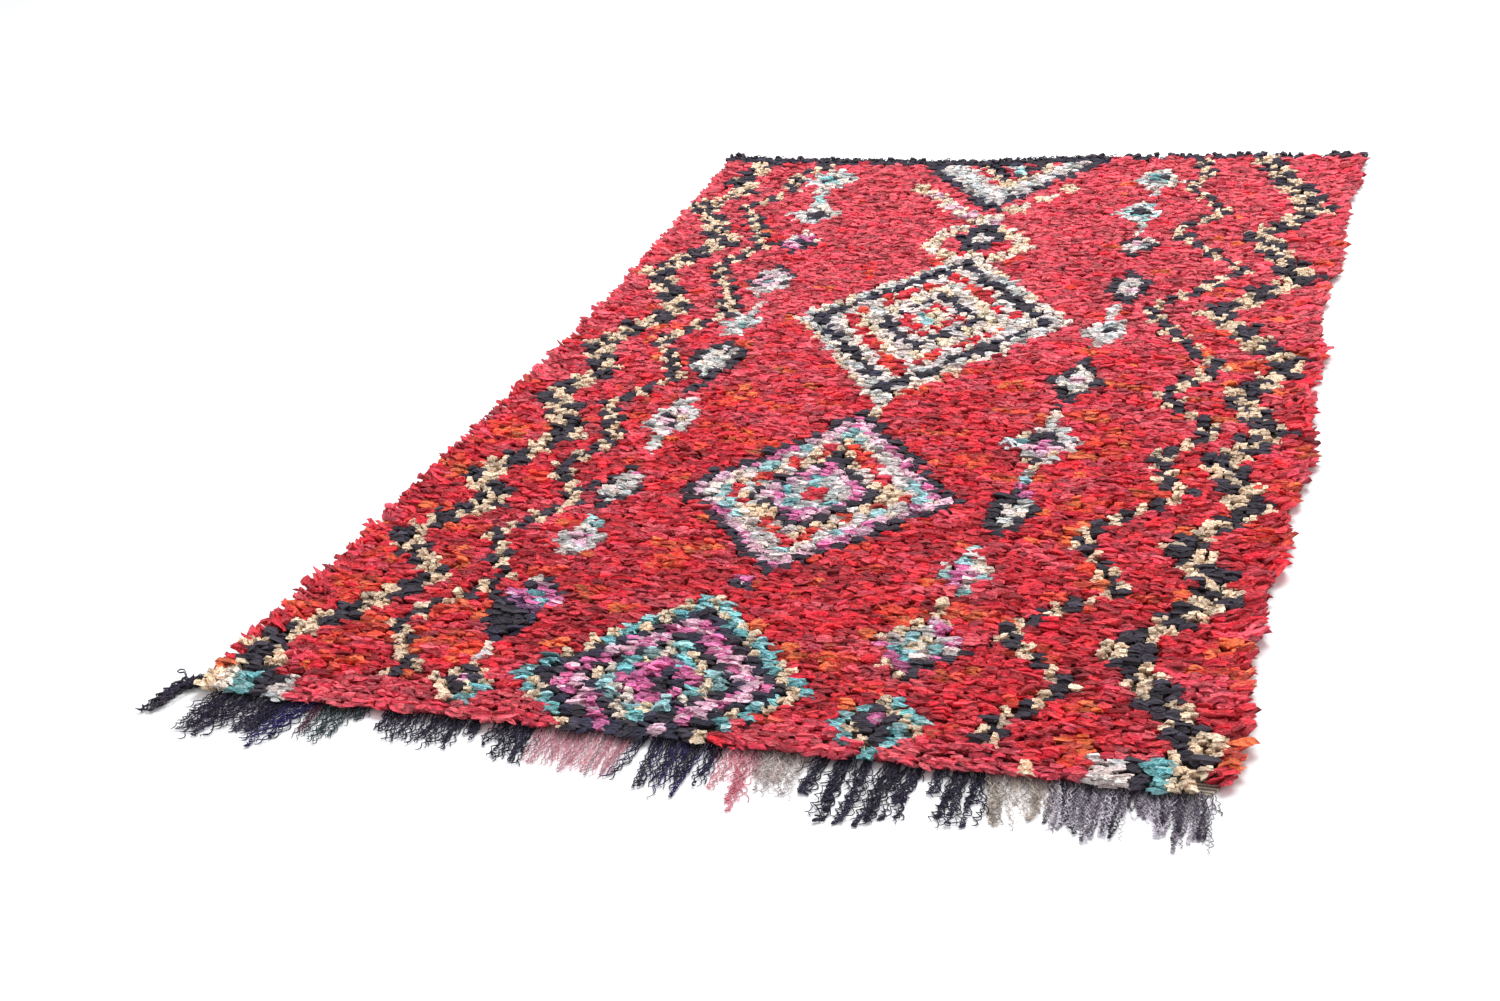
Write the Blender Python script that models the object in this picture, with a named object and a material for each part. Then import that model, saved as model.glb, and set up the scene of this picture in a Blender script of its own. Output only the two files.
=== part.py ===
"""Boucherouite rug lying flat: the knotted rag pile, the warp fringe of its near end in bundles of
several yarns, the gathered warp bundle at its near left corner and the dark edging of its far end.

Metres, +Z up. X runs across the rug and Y along it, from the fringed end to the far end. The pieces
are shaped from the near edge of the pile, at Y = 0, and moved at the end so that the floor under
the middle of the whole rug is the origin.
"""

import math
import random
from collections import namedtuple

import bmesh
import bpy
from mathutils import Vector

MM = 0.001

# Driving dimensions of the rug
WIDTH = 1.300  # nominal width of the pile
LENGTH = 2.120  # nominal length of the pile
PILE_TOP = 0.0235  # mean height of the pile over the floor
ROW_RISE = 0.0022  # how far the rows of knots rise and sink by turns from that height
LUMP = 0.0028  # how far a single lump rises or sinks besides
RIM_TOP = 0.0175  # height at which the pile turns down at its edges
RIM_MIDDLE = 0.0090  # height at which its long sides stand out farthest
GAP = 0.0003  # what parts two pieces that lie side by side

# The pile's mesh: a lump in each cell, and two steps of the rim to each cell at the edge
CELLS_ACROSS = 30
CELLS_ALONG = 52
DRIFT = 0.006  # sideways play of a lump
RIM_RAGGED = 0.0025  # play of the rim across itself
SIDE_BULGE = 0.003
FOOT_INSET = 0.004  # how far the underside stays inside the bulge of a long side

# Rag locks that stand out of the rim
LOCK_EVERY = 3  # rim steps from one lock to the next
LOCK_REACH = (0.007, 0.017)
LOCK_TAPER = (0.35, 0.60)
LOCK_SWING = 0.3  # sideways play, as a share of the reach
LOCK_DROOP = 0.0015
NEAR_LOCK_REACH = (0.004, 0.009)
CORNER_CLEAR = 0.045  # no lock this near a corner
ON_SIDE = 0.015  # a rim point this near a long side's line belongs to it
TASSEL_CLEAR = 0.085  # nor this near the left near corner, where the tassel leaves

# Fringe: narrow strips along the near edge, and strands that lie on the floor
BACKING_DEPTH = 0.007
BACKING_HEIGHT = 0.0055
BACKING_END = 0.0015  # strip past the outermost strand
STRAND_PITCH = 0.0068  # at the root
STRAND_ROOT = (0.0042, 0.0045)  # width and height at the root
STRAND_TIP = (0.0022, 0.0024)
STRAND_STEPS = 4
STRAND_WANDER = 0.0028  # sideways sway of a whole bundle
BUNDLE_TAPER = 0.36  # how much a bundle draws together at its tips
SHORTEST = 0.80  # length of the shortest strand of a bundle, as a share

# Edging of the far end
EDGING_DEPTH = 0.008
EDGING_CELLS = 2 * CELLS_ACROSS  # the same steps as the pile's far edge
TUFT_EVERY = 2

# Tassel of gathered warps at the near left corner
TASSEL_STRANDS = 4
TASSEL_WIDTH = 0.024
TASSEL_BACKING = (0.007, 0.030, 0.008)  # across, along, height
TASSEL_START = 0.008  # from the near edge to the backing's near end
TASSEL_ROOT = (0.0048, 0.0070)
TASSEL_TIP = (0.0030, 0.0034)
TASSEL_STEPS = 7

SEED = 11

# How far each edge lies outside its nominal line, in millimetres, by the distance along that edge.
EdgePoint = namedtuple("EdgePoint", "at out")

LEFT_EDGE = (
    EdgePoint(0.00, -14),
    EdgePoint(0.13, -12),
    EdgePoint(0.24, -22),
    EdgePoint(0.40, -31),
    EdgePoint(0.68, -34),
    EdgePoint(1.01, -40),
    EdgePoint(1.39, -39),
    EdgePoint(1.73, -21),
    EdgePoint(1.91, -10),
    EdgePoint(2.12, 0),
)
RIGHT_EDGE = (
    EdgePoint(0.00, -15),
    EdgePoint(0.06, 5),
    EdgePoint(0.12, 5),
    EdgePoint(0.27, -6),
    EdgePoint(0.43, -7),
    EdgePoint(0.56, 9),
    EdgePoint(0.62, -2),
    EdgePoint(0.75, 14),
    EdgePoint(0.85, 14),
    EdgePoint(1.03, -8),
    EdgePoint(1.17, 2),
    EdgePoint(1.27, -20),
    EdgePoint(1.48, -20),
    EdgePoint(1.52, -1),
    EdgePoint(1.70, -15),
    EdgePoint(1.90, -14),
    EdgePoint(1.94, -6),
    EdgePoint(2.14, -6),
)
FAR_EDGE = (  # by the distance from the rug's centre line
    EdgePoint(-0.65, -14),
    EdgePoint(-0.48, -29),
    EdgePoint(-0.11, -42),
    EdgePoint(0.00, -26),
    EdgePoint(0.20, 4),
    EdgePoint(0.50, 18),
    EdgePoint(0.65, 17),
)

# Height of the edging and reach of its tufts, in millimetres, by the distance from the centre line
EdgingPoint = namedtuple("EdgingPoint", "at height tuft")

EDGING = (
    EdgingPoint(-0.66, 20, 22),
    EdgingPoint(-0.48, 18, 14),
    EdgingPoint(-0.10, 20, 20),
    EdgingPoint(0.12, 20, 20),
    EdgingPoint(0.25, 14, 10),
    EdgingPoint(0.66, 14, 8),
)

# A bundle of warp yarns, in millimetres: root and tip from the centre line, length and root width
Bundle = namedtuple("Bundle", "root tip length width")

FRINGE = {
    "fringe_black_left": (
        Bundle(-604, -624, 92, 14),
        Bundle(-579, -596, 107, 28),
        Bundle(-542, -556, 80, 27),
        Bundle(-513, -533, 76, 20),
    ),
    "fringe_navy_left": (Bundle(-484, -514, 104, 27),),
    "fringe_wine": (Bundle(-461, -458, 82, 14),),
    "fringe_green": (Bundle(-434, -430, 88, 28), Bundle(-402, -399, 28, 14)),
    "fringe_black_middle": (
        Bundle(-359, -359, 44, 14),
        Bundle(-338, -332, 72, 14),
        Bundle(-313, -307, 65, 14),
        Bundle(-289, -292, 76, 14),
        Bundle(-266, -264, 68, 14),
        Bundle(-244, -243, 40, 14),
        Bundle(-209, -209, 47, 14),
        Bundle(-188, -187, 82, 14),
        Bundle(-169, -164, 86, 14),
    ),
    "fringe_rose": (
        Bundle(-149, -146, 78, 20),
        Bundle(-125, -122, 80, 20),
        Bundle(-100, -97, 87, 20),
        Bundle(-76, -73, 87, 20),
        Bundle(-53, -52, 97, 20),
    ),
    "fringe_navy_middle": (
        Bundle(-24, -40, 98, 7),
        Bundle(0, 8, 100, 21),
        Bundle(22, 24, 116, 14),
        Bundle(43, 46, 106, 21),
        Bundle(66, 70, 82, 14),
    ),
    "fringe_pink": (Bundle(86, 90, 84, 14), Bundle(107, 122, 124, 21)),
    "fringe_grey_beige": (Bundle(133, 150, 78, 21), Bundle(159, 165, 92, 21)),
    "fringe_black_right": (
        Bundle(200, 188, 76, 14),
        Bundle(227, 224, 123, 21),
        Bundle(252, 250, 120, 14),
        Bundle(279, 266, 120, 21),
        Bundle(305, 298, 112, 21),
        Bundle(334, 341, 58, 14),
        Bundle(357, 358, 104, 21),
        Bundle(380, 391, 100, 14),
    ),
    "fringe_sand": (Bundle(409, 428, 96, 28), Bundle(442, 458, 74, 21)),
    "fringe_grey": (
        Bundle(481, 492, 96, 28),
        Bundle(510, 519, 103, 21),
        Bundle(535, 542, 92, 21),
        Bundle(560, 572, 75, 21),
        Bundle(584, 594, 88, 21),
        Bundle(606, 612, 102, 14),
        Bundle(624, 634, 95, 14),
    ),
}

# Route of the tassel's middle on the floor, in millimetres from where it leaves its backing
TASSEL_ROUTE = ((0, 0), (-12, -1), (-24, -7), (-31, -19), (-34, -37), (-35, -57), (-34, -76), (-34, -95))

# Colour, roughness and the metallic value of each piece's yarn or rag
Yarn = namedtuple("Yarn", "colour roughness metallic")

YARNS = {
    "pile": Yarn((0.56, 0.025, 0.035, 1.0), 0.9, 0.0),
    "fringe_black_left": Yarn((0.016, 0.013, 0.022, 1.0), 0.85, 0.0),
    "fringe_navy_left": Yarn((0.015, 0.016, 0.060, 1.0), 0.85, 0.0),
    "fringe_wine": Yarn((0.060, 0.018, 0.026, 1.0), 0.85, 0.0),
    "fringe_green": Yarn((0.022, 0.045, 0.045, 1.0), 0.85, 0.0),
    "fringe_black_middle": Yarn((0.020, 0.019, 0.030, 1.0), 0.85, 0.0),
    "fringe_rose": Yarn((0.45, 0.14, 0.15, 1.0), 0.85, 0.0),
    "fringe_navy_middle": Yarn((0.017, 0.013, 0.055, 1.0), 0.85, 0.0),
    "fringe_pink": Yarn((0.55, 0.22, 0.24, 1.0), 0.85, 0.0),
    "fringe_grey_beige": Yarn((0.30, 0.26, 0.22, 1.0), 0.85, 0.0),
    "fringe_black_right": Yarn((0.020, 0.019, 0.032, 1.0), 0.85, 0.0),
    "fringe_sand": Yarn((0.40, 0.35, 0.30, 1.0), 0.85, 0.0),
    "fringe_grey": Yarn((0.20, 0.17, 0.20, 1.0), 0.85, 0.0),
    "tassel": Yarn((0.015, 0.012, 0.018, 1.0), 0.85, 0.0),
    "far_edging": Yarn((0.022, 0.020, 0.032, 1.0), 0.9, 0.0),
}


def lerp(a, b, share):
    return a + (b - a) * share


def read_table(table, at, column):
    """The value of a table's column at a place, on straight lines between its rows."""
    if at <= table[0].at:
        return getattr(table[0], column)
    for low, high in zip(table, table[1:]):
        if at <= high.at:
            share = (at - low.at) / (high.at - low.at)
            return lerp(getattr(low, column), getattr(high, column), share)
    return getattr(table[-1], column)


def left_edge(along):
    return -WIDTH / 2 - read_table(LEFT_EDGE, along, "out") * MM


def right_edge(along):
    return WIDTH / 2 + read_table(RIGHT_EDGE, along, "out") * MM


def far_edge(across):
    return LENGTH + read_table(FAR_EDGE, across, "out") * MM


def new_object(name, bm):
    """Closes the work on a mesh: an object of that name, with its yarn's material, in the scene."""
    bmesh.ops.recalc_face_normals(bm, faces=bm.faces)
    mesh = bpy.data.meshes.new(name)
    bm.to_mesh(mesh)
    bm.free()
    mesh.materials.append(yarn_material(name))
    obj = bpy.data.objects.new(name, mesh)
    bpy.data.collections["boucherouite_rug"].objects.link(obj)
    return obj


def yarn_material(name):
    yarn = YARNS[name]
    material = bpy.data.materials.new(name)
    material.use_nodes = True
    shader = material.node_tree.nodes["Principled BSDF"]
    shader.inputs["Base Color"].default_value = yarn.colour
    shader.inputs["Roughness"].default_value = yarn.roughness
    shader.inputs["Metallic"].default_value = yarn.metallic
    return material


def extrude_one(bm, face):
    """Pulls one face out on walls of its own, and gives back the moved face."""
    return bmesh.ops.extrude_discrete_faces(bm, faces=[face])["faces"][0]


def grow_strand(bm, face, route, root, tip):
    """Grows a strand from an upright face along a route on the floor, a list of points and
    headings. Each ring stands level on the floor, from the root's width and height to the tip's."""
    for step, (point, heading) in enumerate(route, start=1):
        share = step / len(route)
        half = lerp(root[0], tip[0], share) / 2
        height = lerp(root[1], tip[1], share)
        side = Vector((-heading.y, heading.x, 0.0))
        face = extrude_one(bm, face)
        centre = face.calc_center_median()
        for vert in face.verts:
            sign = math.copysign(1.0, (vert.co - centre).dot(side))
            top = vert.co.z > centre.z
            vert.co = point + side * sign * half
            vert.co.z = height if top else 0.0


def grow_lock(bm, face, rng, reach):
    """Pulls a rag lock out of a face of the rim: tapered, a little to one side and drooping."""
    out = face.normal.copy()
    out.z = 0.0
    out.normalize()
    reach = rng.uniform(*reach)
    side = Vector((-out.y, out.x, 0.0)) * rng.uniform(-LOCK_SWING, LOCK_SWING) * reach
    taper = rng.uniform(*LOCK_TAPER)
    face = extrude_one(bm, face)
    centre = face.calc_center_median()
    goal = centre + out * reach + side - Vector((0.0, 0.0, LOCK_DROOP))
    for vert in face.verts:
        vert.co = goal + (vert.co - centre) * taper


def place_top(bm, rng):
    """Spreads a unit grid over the pile's outline, with a lump at each inner point."""
    for vert in bm.verts:
        share_x, share_y = vert.co.x, vert.co.y
        inner = 0.001 < share_x < 0.999 and 0.001 < share_y < 0.999
        along = share_y * LENGTH
        across = lerp(left_edge(along), right_edge(along), share_x)
        vert.co.x = across
        vert.co.y = share_y * far_edge(across)
        vert.co.z = RIM_TOP
        if inner:
            vert.co.x += rng.uniform(-DRIFT, DRIFT)
            vert.co.y += rng.uniform(-DRIFT, DRIFT)
            row = round(share_y * CELLS_ALONG)
            rise = ROW_RISE if row % 2 else -ROW_RISE
            vert.co.z = PILE_TOP + rise + rng.uniform(-LUMP, LUMP)


def side_of(vert):
    """-1 or 1 for a rim point on the left or right side and 0 for one on an end alone."""
    along = vert.co.y
    if vert.co.x < left_edge(along) + ON_SIDE:
        return -1
    if vert.co.x > right_edge(along) - ON_SIDE:
        return 1
    return 0


def lower_rim(bm, rim, out, height):
    """Extrudes the rim's edges down to a height and moves its long sides outward."""
    made = bmesh.ops.extrude_edge_only(bm, edges=rim)["geom"]
    for vert in [v for v in made if isinstance(v, bmesh.types.BMVert)]:
        vert.co.x += side_of(vert) * out
        vert.co.z = height
    lower = [e for e in made if isinstance(e, bmesh.types.BMEdge)]
    return [e for e in lower if e.is_boundary]


def build_pile():
    """The pile: a lumpy slab with a flat underside, and rag locks round its rim."""
    rng = random.Random(SEED)
    bm = bmesh.new()
    bmesh.ops.create_grid(bm, x_segments=CELLS_ACROSS, y_segments=CELLS_ALONG, size=0.5)
    for vert in bm.verts:
        vert.co += Vector((0.5, 0.5, 0.0))
    rim = [e for e in bm.edges if e.is_boundary]
    bmesh.ops.subdivide_edges(bm, edges=rim, cuts=1)
    place_top(bm, rng)
    for vert in bm.verts:
        if vert.is_boundary and CORNER_CLEAR < vert.co.y < LENGTH - 2 * CORNER_CLEAR:
            vert.co.x += rng.uniform(-RIM_RAGGED, RIM_RAGGED)
            vert.co.z += rng.uniform(-RIM_RAGGED, RIM_RAGGED) / 2

    rim = [e for e in bm.edges if e.is_boundary]
    rim = lower_rim(bm, rim, SIDE_BULGE, RIM_MIDDLE)
    foot = lower_rim(bm, rim, -FOOT_INSET, 0.0)
    bmesh.ops.edgeloop_fill(bm, edges=foot)
    bmesh.ops.recalc_face_normals(bm, faces=bm.faces)
    grow_rim_locks(bm, rng)
    return new_object("pile", bm)


def grow_rim_locks(bm, rng):
    """A lock from every third step of the rim: high and low by turns on the long sides, and high
    along the near end, over the fringe."""
    bm.normal_update()
    walls = [f for f in bm.faces if abs(f.normal.z) < 0.6 and len(f.verts) == 4]
    upper = [f for f in walls if f.calc_center_median().z > RIM_MIDDLE]
    lower = [f for f in walls if f.calc_center_median().z < RIM_MIDDLE]
    chosen = []
    for sign in (-1, 1):
        start = TASSEL_CLEAR if sign < 0 else CORNER_CLEAR
        for band, shift in ((upper, 0), (lower, LOCK_EVERY)):
            wall = [f for f in band if f.normal.x * sign > 0.7]
            wall.sort(key=lambda f: f.calc_center_median().y)
            for face in wall[shift :: 2 * LOCK_EVERY]:
                if start < face.calc_center_median().y < LENGTH - 2 * CORNER_CLEAR:
                    chosen.append((face, LOCK_REACH))
    near = [f for f in upper if f.normal.y < -0.7]
    near.sort(key=lambda f: f.calc_center_median().x)
    chosen += [(face, NEAR_LOCK_REACH) for face in near[2:-2:LOCK_EVERY]]
    for face, reach in chosen:
        grow_lock(bm, face, rng, reach)


def strip(low, high):
    """A plain box between two corners, as a new mesh."""
    bm = bmesh.new()
    bmesh.ops.create_cube(bm, size=1.0)
    for vert in bm.verts:
        for axis in range(3):
            vert.co[axis] = low[axis] if vert.co[axis] < 0 else high[axis]
    return bm


def cut_across(bm, axis, places):
    """Cuts a mesh's faces with planes across one axis."""
    normal = Vector((0.0, 0.0, 0.0))
    normal[axis] = 1.0
    for place in places:
        geometry = [*bm.verts, *bm.edges, *bm.faces]
        bmesh.ops.bisect_plane(bm, geom=geometry, plane_co=normal * place, plane_no=normal, dist=1e-6)


def face_at(bm, outward, axis, place):
    """The face that points outward and has its middle at a place on an axis."""
    bm.normal_update()
    facing = [f for f in bm.faces if f.normal.dot(outward) > 0.9]
    return min(facing, key=lambda f: abs(f.calc_center_median()[axis] - place))


def strand_roots(bundle):
    count = max(1, round(bundle.width * MM / STRAND_PITCH))
    return [(n + 0.5) / count - 0.5 for n in range(count)]


def strand_route(bundle, offset, length, phase):
    """Points of one strand: from its root to its tip, drawn together with its bundle, which
    sways as one so that its strands never cross."""
    whole = bundle.length * MM - BACKING_DEPTH
    route = []
    for step in range(1, STRAND_STEPS + 1):
        reached = length * step / STRAND_STEPS
        share = reached / whole
        middle = lerp(bundle.root, bundle.tip, share**1.3) * MM
        spread = offset * bundle.width * MM * (1 - BUNDLE_TAPER * share)
        sway = STRAND_WANDER * share * math.sin(phase + 2.4 * share)
        y = -GAP - BACKING_DEPTH - reached
        route.append((Vector((middle + spread + sway, y, 0.0)), Vector((0.0, -1.0, 0.0))))
    return route


def build_fringe(name, bundles, rng):
    """One yarn's bundles on their own backing strip, which lies against the pile's near edge."""
    half = STRAND_ROOT[0] / 2
    roots = [b.root * MM + s * b.width * MM for b in bundles for s in strand_roots(b)]
    low = (min(roots) - half - BACKING_END, -GAP - BACKING_DEPTH, 0.0)
    high = (max(roots) + half + BACKING_END, -GAP, BACKING_HEIGHT)
    bm = strip(low, high)
    cut_across(bm, 0, [root + side for root in roots for side in (-half, half)])
    for bundle in bundles:
        phase = rng.uniform(0, 2 * math.pi)
        for offset in strand_roots(bundle):
            root = (bundle.root + offset * bundle.width) * MM
            face = face_at(bm, Vector((0.0, -1.0, 0.0)), 0, root)
            shorten = rng.uniform(SHORTEST, 1.0) if abs(offset) > 0.2 else 1.0
            length = (bundle.length * MM - BACKING_DEPTH) * shorten
            grow_strand(bm, face, strand_route(bundle, offset, length, phase), STRAND_ROOT, STRAND_TIP)
    return new_object(name, bm)


def build_tassel(pile):
    """Warps gathered in one bundle, which leaves the near left corner sideways and turns down."""
    depth, along, height = TASSEL_BACKING
    beside = [v.co.x for v in pile.data.vertices if TASSEL_START < v.co.y < TASSEL_START + along]
    inner = min(beside) - GAP
    bm = strip((inner - depth, TASSEL_START, 0.0), (inner, TASSEL_START + along, height))
    middle = Vector((inner - depth, TASSEL_START + along / 2, 0.0))
    offsets = [((n + 0.5) / TASSEL_STRANDS - 0.5) * TASSEL_WIDTH for n in range(TASSEL_STRANDS)]
    half = TASSEL_ROOT[0] / 2
    cut_across(bm, 1, [middle.y + o + side for o in offsets for side in (-half, half)])
    points = [middle + Vector((x * MM, y * MM, 0.0)) for x, y in TASSEL_ROUTE]
    for offset in offsets:
        face = face_at(bm, Vector((-1.0, 0.0, 0.0)), 1, middle.y + offset)
        route = []
        for step in range(1, TASSEL_STEPS + 1):
            after = points[min(step + 1, TASSEL_STEPS)]
            heading = (after - points[step - 1]).normalized()
            across = Vector((-heading.y, heading.x, 0.0))
            drawn = 1 - BUNDLE_TAPER * step / TASSEL_STEPS
            route.append((points[step] - across * offset * drawn, heading))
        grow_strand(bm, face, route, TASSEL_ROOT, TASSEL_TIP)
    return new_object("tassel", bm)


def build_edging(rng):
    """Dark rag edging of the far end: a strip along the pile's far edge, with a row of tufts."""
    bm = bmesh.new()
    bmesh.ops.create_grid(bm, x_segments=EDGING_CELLS, y_segments=1, size=0.5)
    start = left_edge(LENGTH)
    end = right_edge(LENGTH)
    for vert in bm.verts:
        across = lerp(start, end, vert.co.x + 0.5)
        depth = GAP + (EDGING_DEPTH if vert.co.y > 0 else 0.0)
        vert.co = Vector((across, far_edge(across) + depth, 0.0))
    made = bmesh.ops.extrude_face_region(bm, geom=bm.faces[:])["geom"]
    for vert in [v for v in made if isinstance(v, bmesh.types.BMVert)]:
        vert.co.z = read_table(EDGING, vert.co.x, "height") * MM
    bmesh.ops.recalc_face_normals(bm, faces=bm.faces)
    bm.normal_update()
    outer = [f for f in bm.faces if f.normal.y > 0.7]
    outer.sort(key=lambda f: f.calc_center_median().x)
    for face in outer[::TUFT_EVERY]:
        reach = read_table(EDGING, face.calc_center_median().x, "tuft") * MM
        grow_lock(bm, face, rng, (0.5 * reach, reach))
    return new_object("far_edging", bm)


def stand_on_origin(objects):
    """Moves the meshes so that the floor under the middle of the rug's box is the origin."""
    corners = [vert.co for obj in objects for vert in obj.data.vertices]
    low = [min(c[axis] for c in corners) for axis in range(3)]
    high = [max(c[axis] for c in corners) for axis in range(3)]
    shift = Vector((-(low[0] + high[0]) / 2, -(low[1] + high[1]) / 2, -low[2]))
    for obj in objects:
        for vert in obj.data.vertices:
            vert.co += shift


def main():
    for obj in list(bpy.data.objects):
        bpy.data.objects.remove(obj)
    collection = bpy.data.collections.new("boucherouite_rug")
    bpy.context.scene.collection.children.link(collection)
    rng = random.Random(SEED)
    pile = build_pile()
    pieces = [pile, build_tassel(pile), build_edging(rng)]
    pieces += [build_fringe(name, bundles, rng) for name, bundles in FRINGE.items()]
    stand_on_origin(pieces)
    return pieces


main()
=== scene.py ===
# %% [markdown]
# # A boucherouite rug, built from its knots
#
# A boucherouite rug is woven and knotted by hand from torn rags and left-over wool. This file
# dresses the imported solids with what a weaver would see: a woven ground, some seven and a half
# thousand knots of rag and wool, a dark far end and a fringe of crinkled warp yarns.
#
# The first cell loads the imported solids. Every piece below is measured from them, in metres.

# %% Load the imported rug
import math
import random
from collections import namedtuple

import bmesh
import bpy
import numpy as np
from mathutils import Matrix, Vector, noise


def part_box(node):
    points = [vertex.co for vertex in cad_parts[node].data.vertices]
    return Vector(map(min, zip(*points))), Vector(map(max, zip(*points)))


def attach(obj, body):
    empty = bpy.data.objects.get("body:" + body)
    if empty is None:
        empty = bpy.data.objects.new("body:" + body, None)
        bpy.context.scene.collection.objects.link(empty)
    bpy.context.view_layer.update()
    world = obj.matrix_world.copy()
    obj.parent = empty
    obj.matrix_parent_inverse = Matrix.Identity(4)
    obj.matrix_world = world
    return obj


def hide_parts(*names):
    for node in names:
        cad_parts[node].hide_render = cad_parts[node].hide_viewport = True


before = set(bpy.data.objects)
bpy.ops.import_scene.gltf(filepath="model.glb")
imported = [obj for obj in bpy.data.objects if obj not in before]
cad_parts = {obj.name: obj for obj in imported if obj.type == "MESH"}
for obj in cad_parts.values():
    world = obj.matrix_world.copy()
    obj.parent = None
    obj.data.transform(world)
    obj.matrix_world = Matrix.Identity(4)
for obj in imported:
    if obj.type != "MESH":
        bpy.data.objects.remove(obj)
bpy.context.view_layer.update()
MM = 0.001
scene = bpy.context.scene

# %% [markdown]
# ## Where things are
#
# A weaver counts from the starting edge, so places on the rug are given as millimetres from its
# centre line and millimetres along it from the near edge of the pile. Two solids tell where
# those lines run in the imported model: the fringe starts at the near edge, and the far edging ends
# at the right side of the far end.

# %% Measure the near edge and the centre line
WIDTH, LENGTH = 1300.0, 2120.0  # nominal pile, in millimetres
near_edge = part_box("fringe_rose")[1].y + 0.3 * MM
centre_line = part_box("far_edging")[1].x - 644 * MM


def place(x, along, z=0.0):
    """A point of the model, in metres, from millimetres across, along and up."""
    return Vector((centre_line + x * MM, near_edge + along * MM, z * MM))


print("near edge at", round(near_edge, 4), "centre line at", round(centre_line, 4))

# %% [markdown]
# ## The outline
#
# A hand-woven rug is never a clean rectangle: the weaver pulls one row tighter than the next, and
# the sides wander. How far each side stands outside its nominal line is listed by distance, and
# read on straight lines between the rows of the list, as in the solid's own source.

# %% The rug's sides and far end
Edge = namedtuple("Edge", "at out")

LEFT_EDGE = (
    Edge(0, -14), Edge(130, -12), Edge(240, -22), Edge(400, -31), Edge(680, -34),
    Edge(1010, -40), Edge(1390, -39), Edge(1730, -21), Edge(1910, -10), Edge(2120, 0),
)
RIGHT_EDGE = (
    Edge(0, -15), Edge(60, 5), Edge(120, 5), Edge(270, -6), Edge(430, -7), Edge(560, 9),
    Edge(620, -2), Edge(750, 14), Edge(850, 14), Edge(1030, -8), Edge(1170, 2), Edge(1270, -20),
    Edge(1480, -20), Edge(1520, -1), Edge(1700, -15), Edge(1900, -14), Edge(1940, -6), Edge(2140, -6),
)
FAR_EDGE = (
    Edge(-650, -14), Edge(-480, -29), Edge(-110, -42), Edge(0, -26), Edge(200, 4), Edge(500, 18),
    Edge(650, 17),
)


def read_edge(table, at):
    """How far an edge stands out at a place, between the rows of its table."""
    return float(np.interp(at, [row.at for row in table], [row.out for row in table]))


def on_rug(share_x, share_y):
    """Millimetres across and along for a place given as shares of the rug's width and length."""
    along = share_y * LENGTH
    left = -WIDTH / 2 - read_edge(LEFT_EDGE, along)
    right = WIDTH / 2 + read_edge(RIGHT_EDGE, along)
    x = left + (right - left) * share_x
    return x, share_y * (LENGTH + read_edge(FAR_EDGE, x))


print("corners:", [[round(c) for c in on_rug(x, y)] for x, y in ((0, 0), (1, 0), (1, 1), (0, 1))])

# %% [markdown]
# ## Camera and studio
#
# The camera stands low in front of the near end, a little to the right, and is rolled a few
# degrees, so the rug runs away from it to the upper right. The floor is a plain pale sheet, a hair
# below the rug's foot. The light is soft: a white sky and one large lamp high up behind the far
# end, which leaves a shadow under the near side of each row of knots. The first two functions, which
# set out an object and make a material, serve the rug's own pieces too.

# %% Set up the camera, the floor and the light
def set_out(name, data):
    """An object of the scene that shows a mesh, or holds a lens or a light."""
    made = bpy.data.objects.new(name, data)
    scene.collection.objects.link(made)
    return made


def new_material(name, inputs):
    """A material whose shader has these inputs, with its tree and its shader."""
    material = bpy.data.materials.new(name)
    material.use_nodes = True
    shader = material.node_tree.nodes["Principled BSDF"]
    for socket, value in inputs.items():
        shader.inputs[socket].default_value = value
    return material, material.node_tree, shader


def add_camera():
    lens = bpy.data.cameras.new("camera")
    lens.lens = 48.31
    lens.sensor_width = 36.0
    scene.camera = set_out("camera", lens)
    scene.camera.location = place(866, -1797, 1307)
    scene.camera.rotation_euler = [math.radians(angle) for angle in (63.09, 5.96, 18.87)]


def add_floor():
    mesh = bpy.data.meshes.new("floor")
    corners = [(-9, -7, 0), (9, -7, 0), (9, 11, 0), (-9, 11, 0)]
    mesh.from_pydata(corners, [], [(0, 1, 2, 3)])
    floor = set_out("floor", mesh)
    floor.location.z = -0.4 * MM
    paint, *_ = new_material("pale floor", {"Base Color": (0.92, 0.92, 0.92, 1), "Roughness": 0.9})
    mesh.materials.append(paint)


def add_lamp(name, place_m, aim, size, watts):
    light = bpy.data.lights.new(name, "AREA")
    light.shape = "DISK"
    light.size = size
    light.energy = watts
    lamp = set_out(name, light)
    lamp.location = place_m
    lamp.rotation_euler = (Vector(aim) - Vector(place_m)).to_track_quat("-Z", "Y").to_euler()


def add_sky(strength):
    sky = bpy.data.worlds.new("soft white")
    sky.use_nodes = True
    inputs = sky.node_tree.nodes["Background"].inputs
    inputs["Color"].default_value = (0.96, 0.97, 1.0, 1)
    inputs["Strength"].default_value = strength
    scene.world = sky


add_camera()
add_floor()
add_sky(0.80)
add_lamp("key", (0.4, 1.9, 4.4), (0, 0, 0), 3.4, 236)
scene.view_settings.view_transform = "Standard"
print("camera at", [round(c, 3) for c in scene.camera.location])

# %% [markdown]
# ## The palette
#
# The rags are old clothes, so no two reds match. Each yarn has a name and a colour as it looks on
# a screen; `linear` turns that into the light values that Blender works with. The `form` says what
# kind of tuft the yarn makes: a torn rag makes creased flakes, wool makes many small ones, and a
# roll of thick dark jersey makes deep plump ones.

# %% The yarns
Yarn = namedtuple("Yarn", "form screen")

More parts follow.
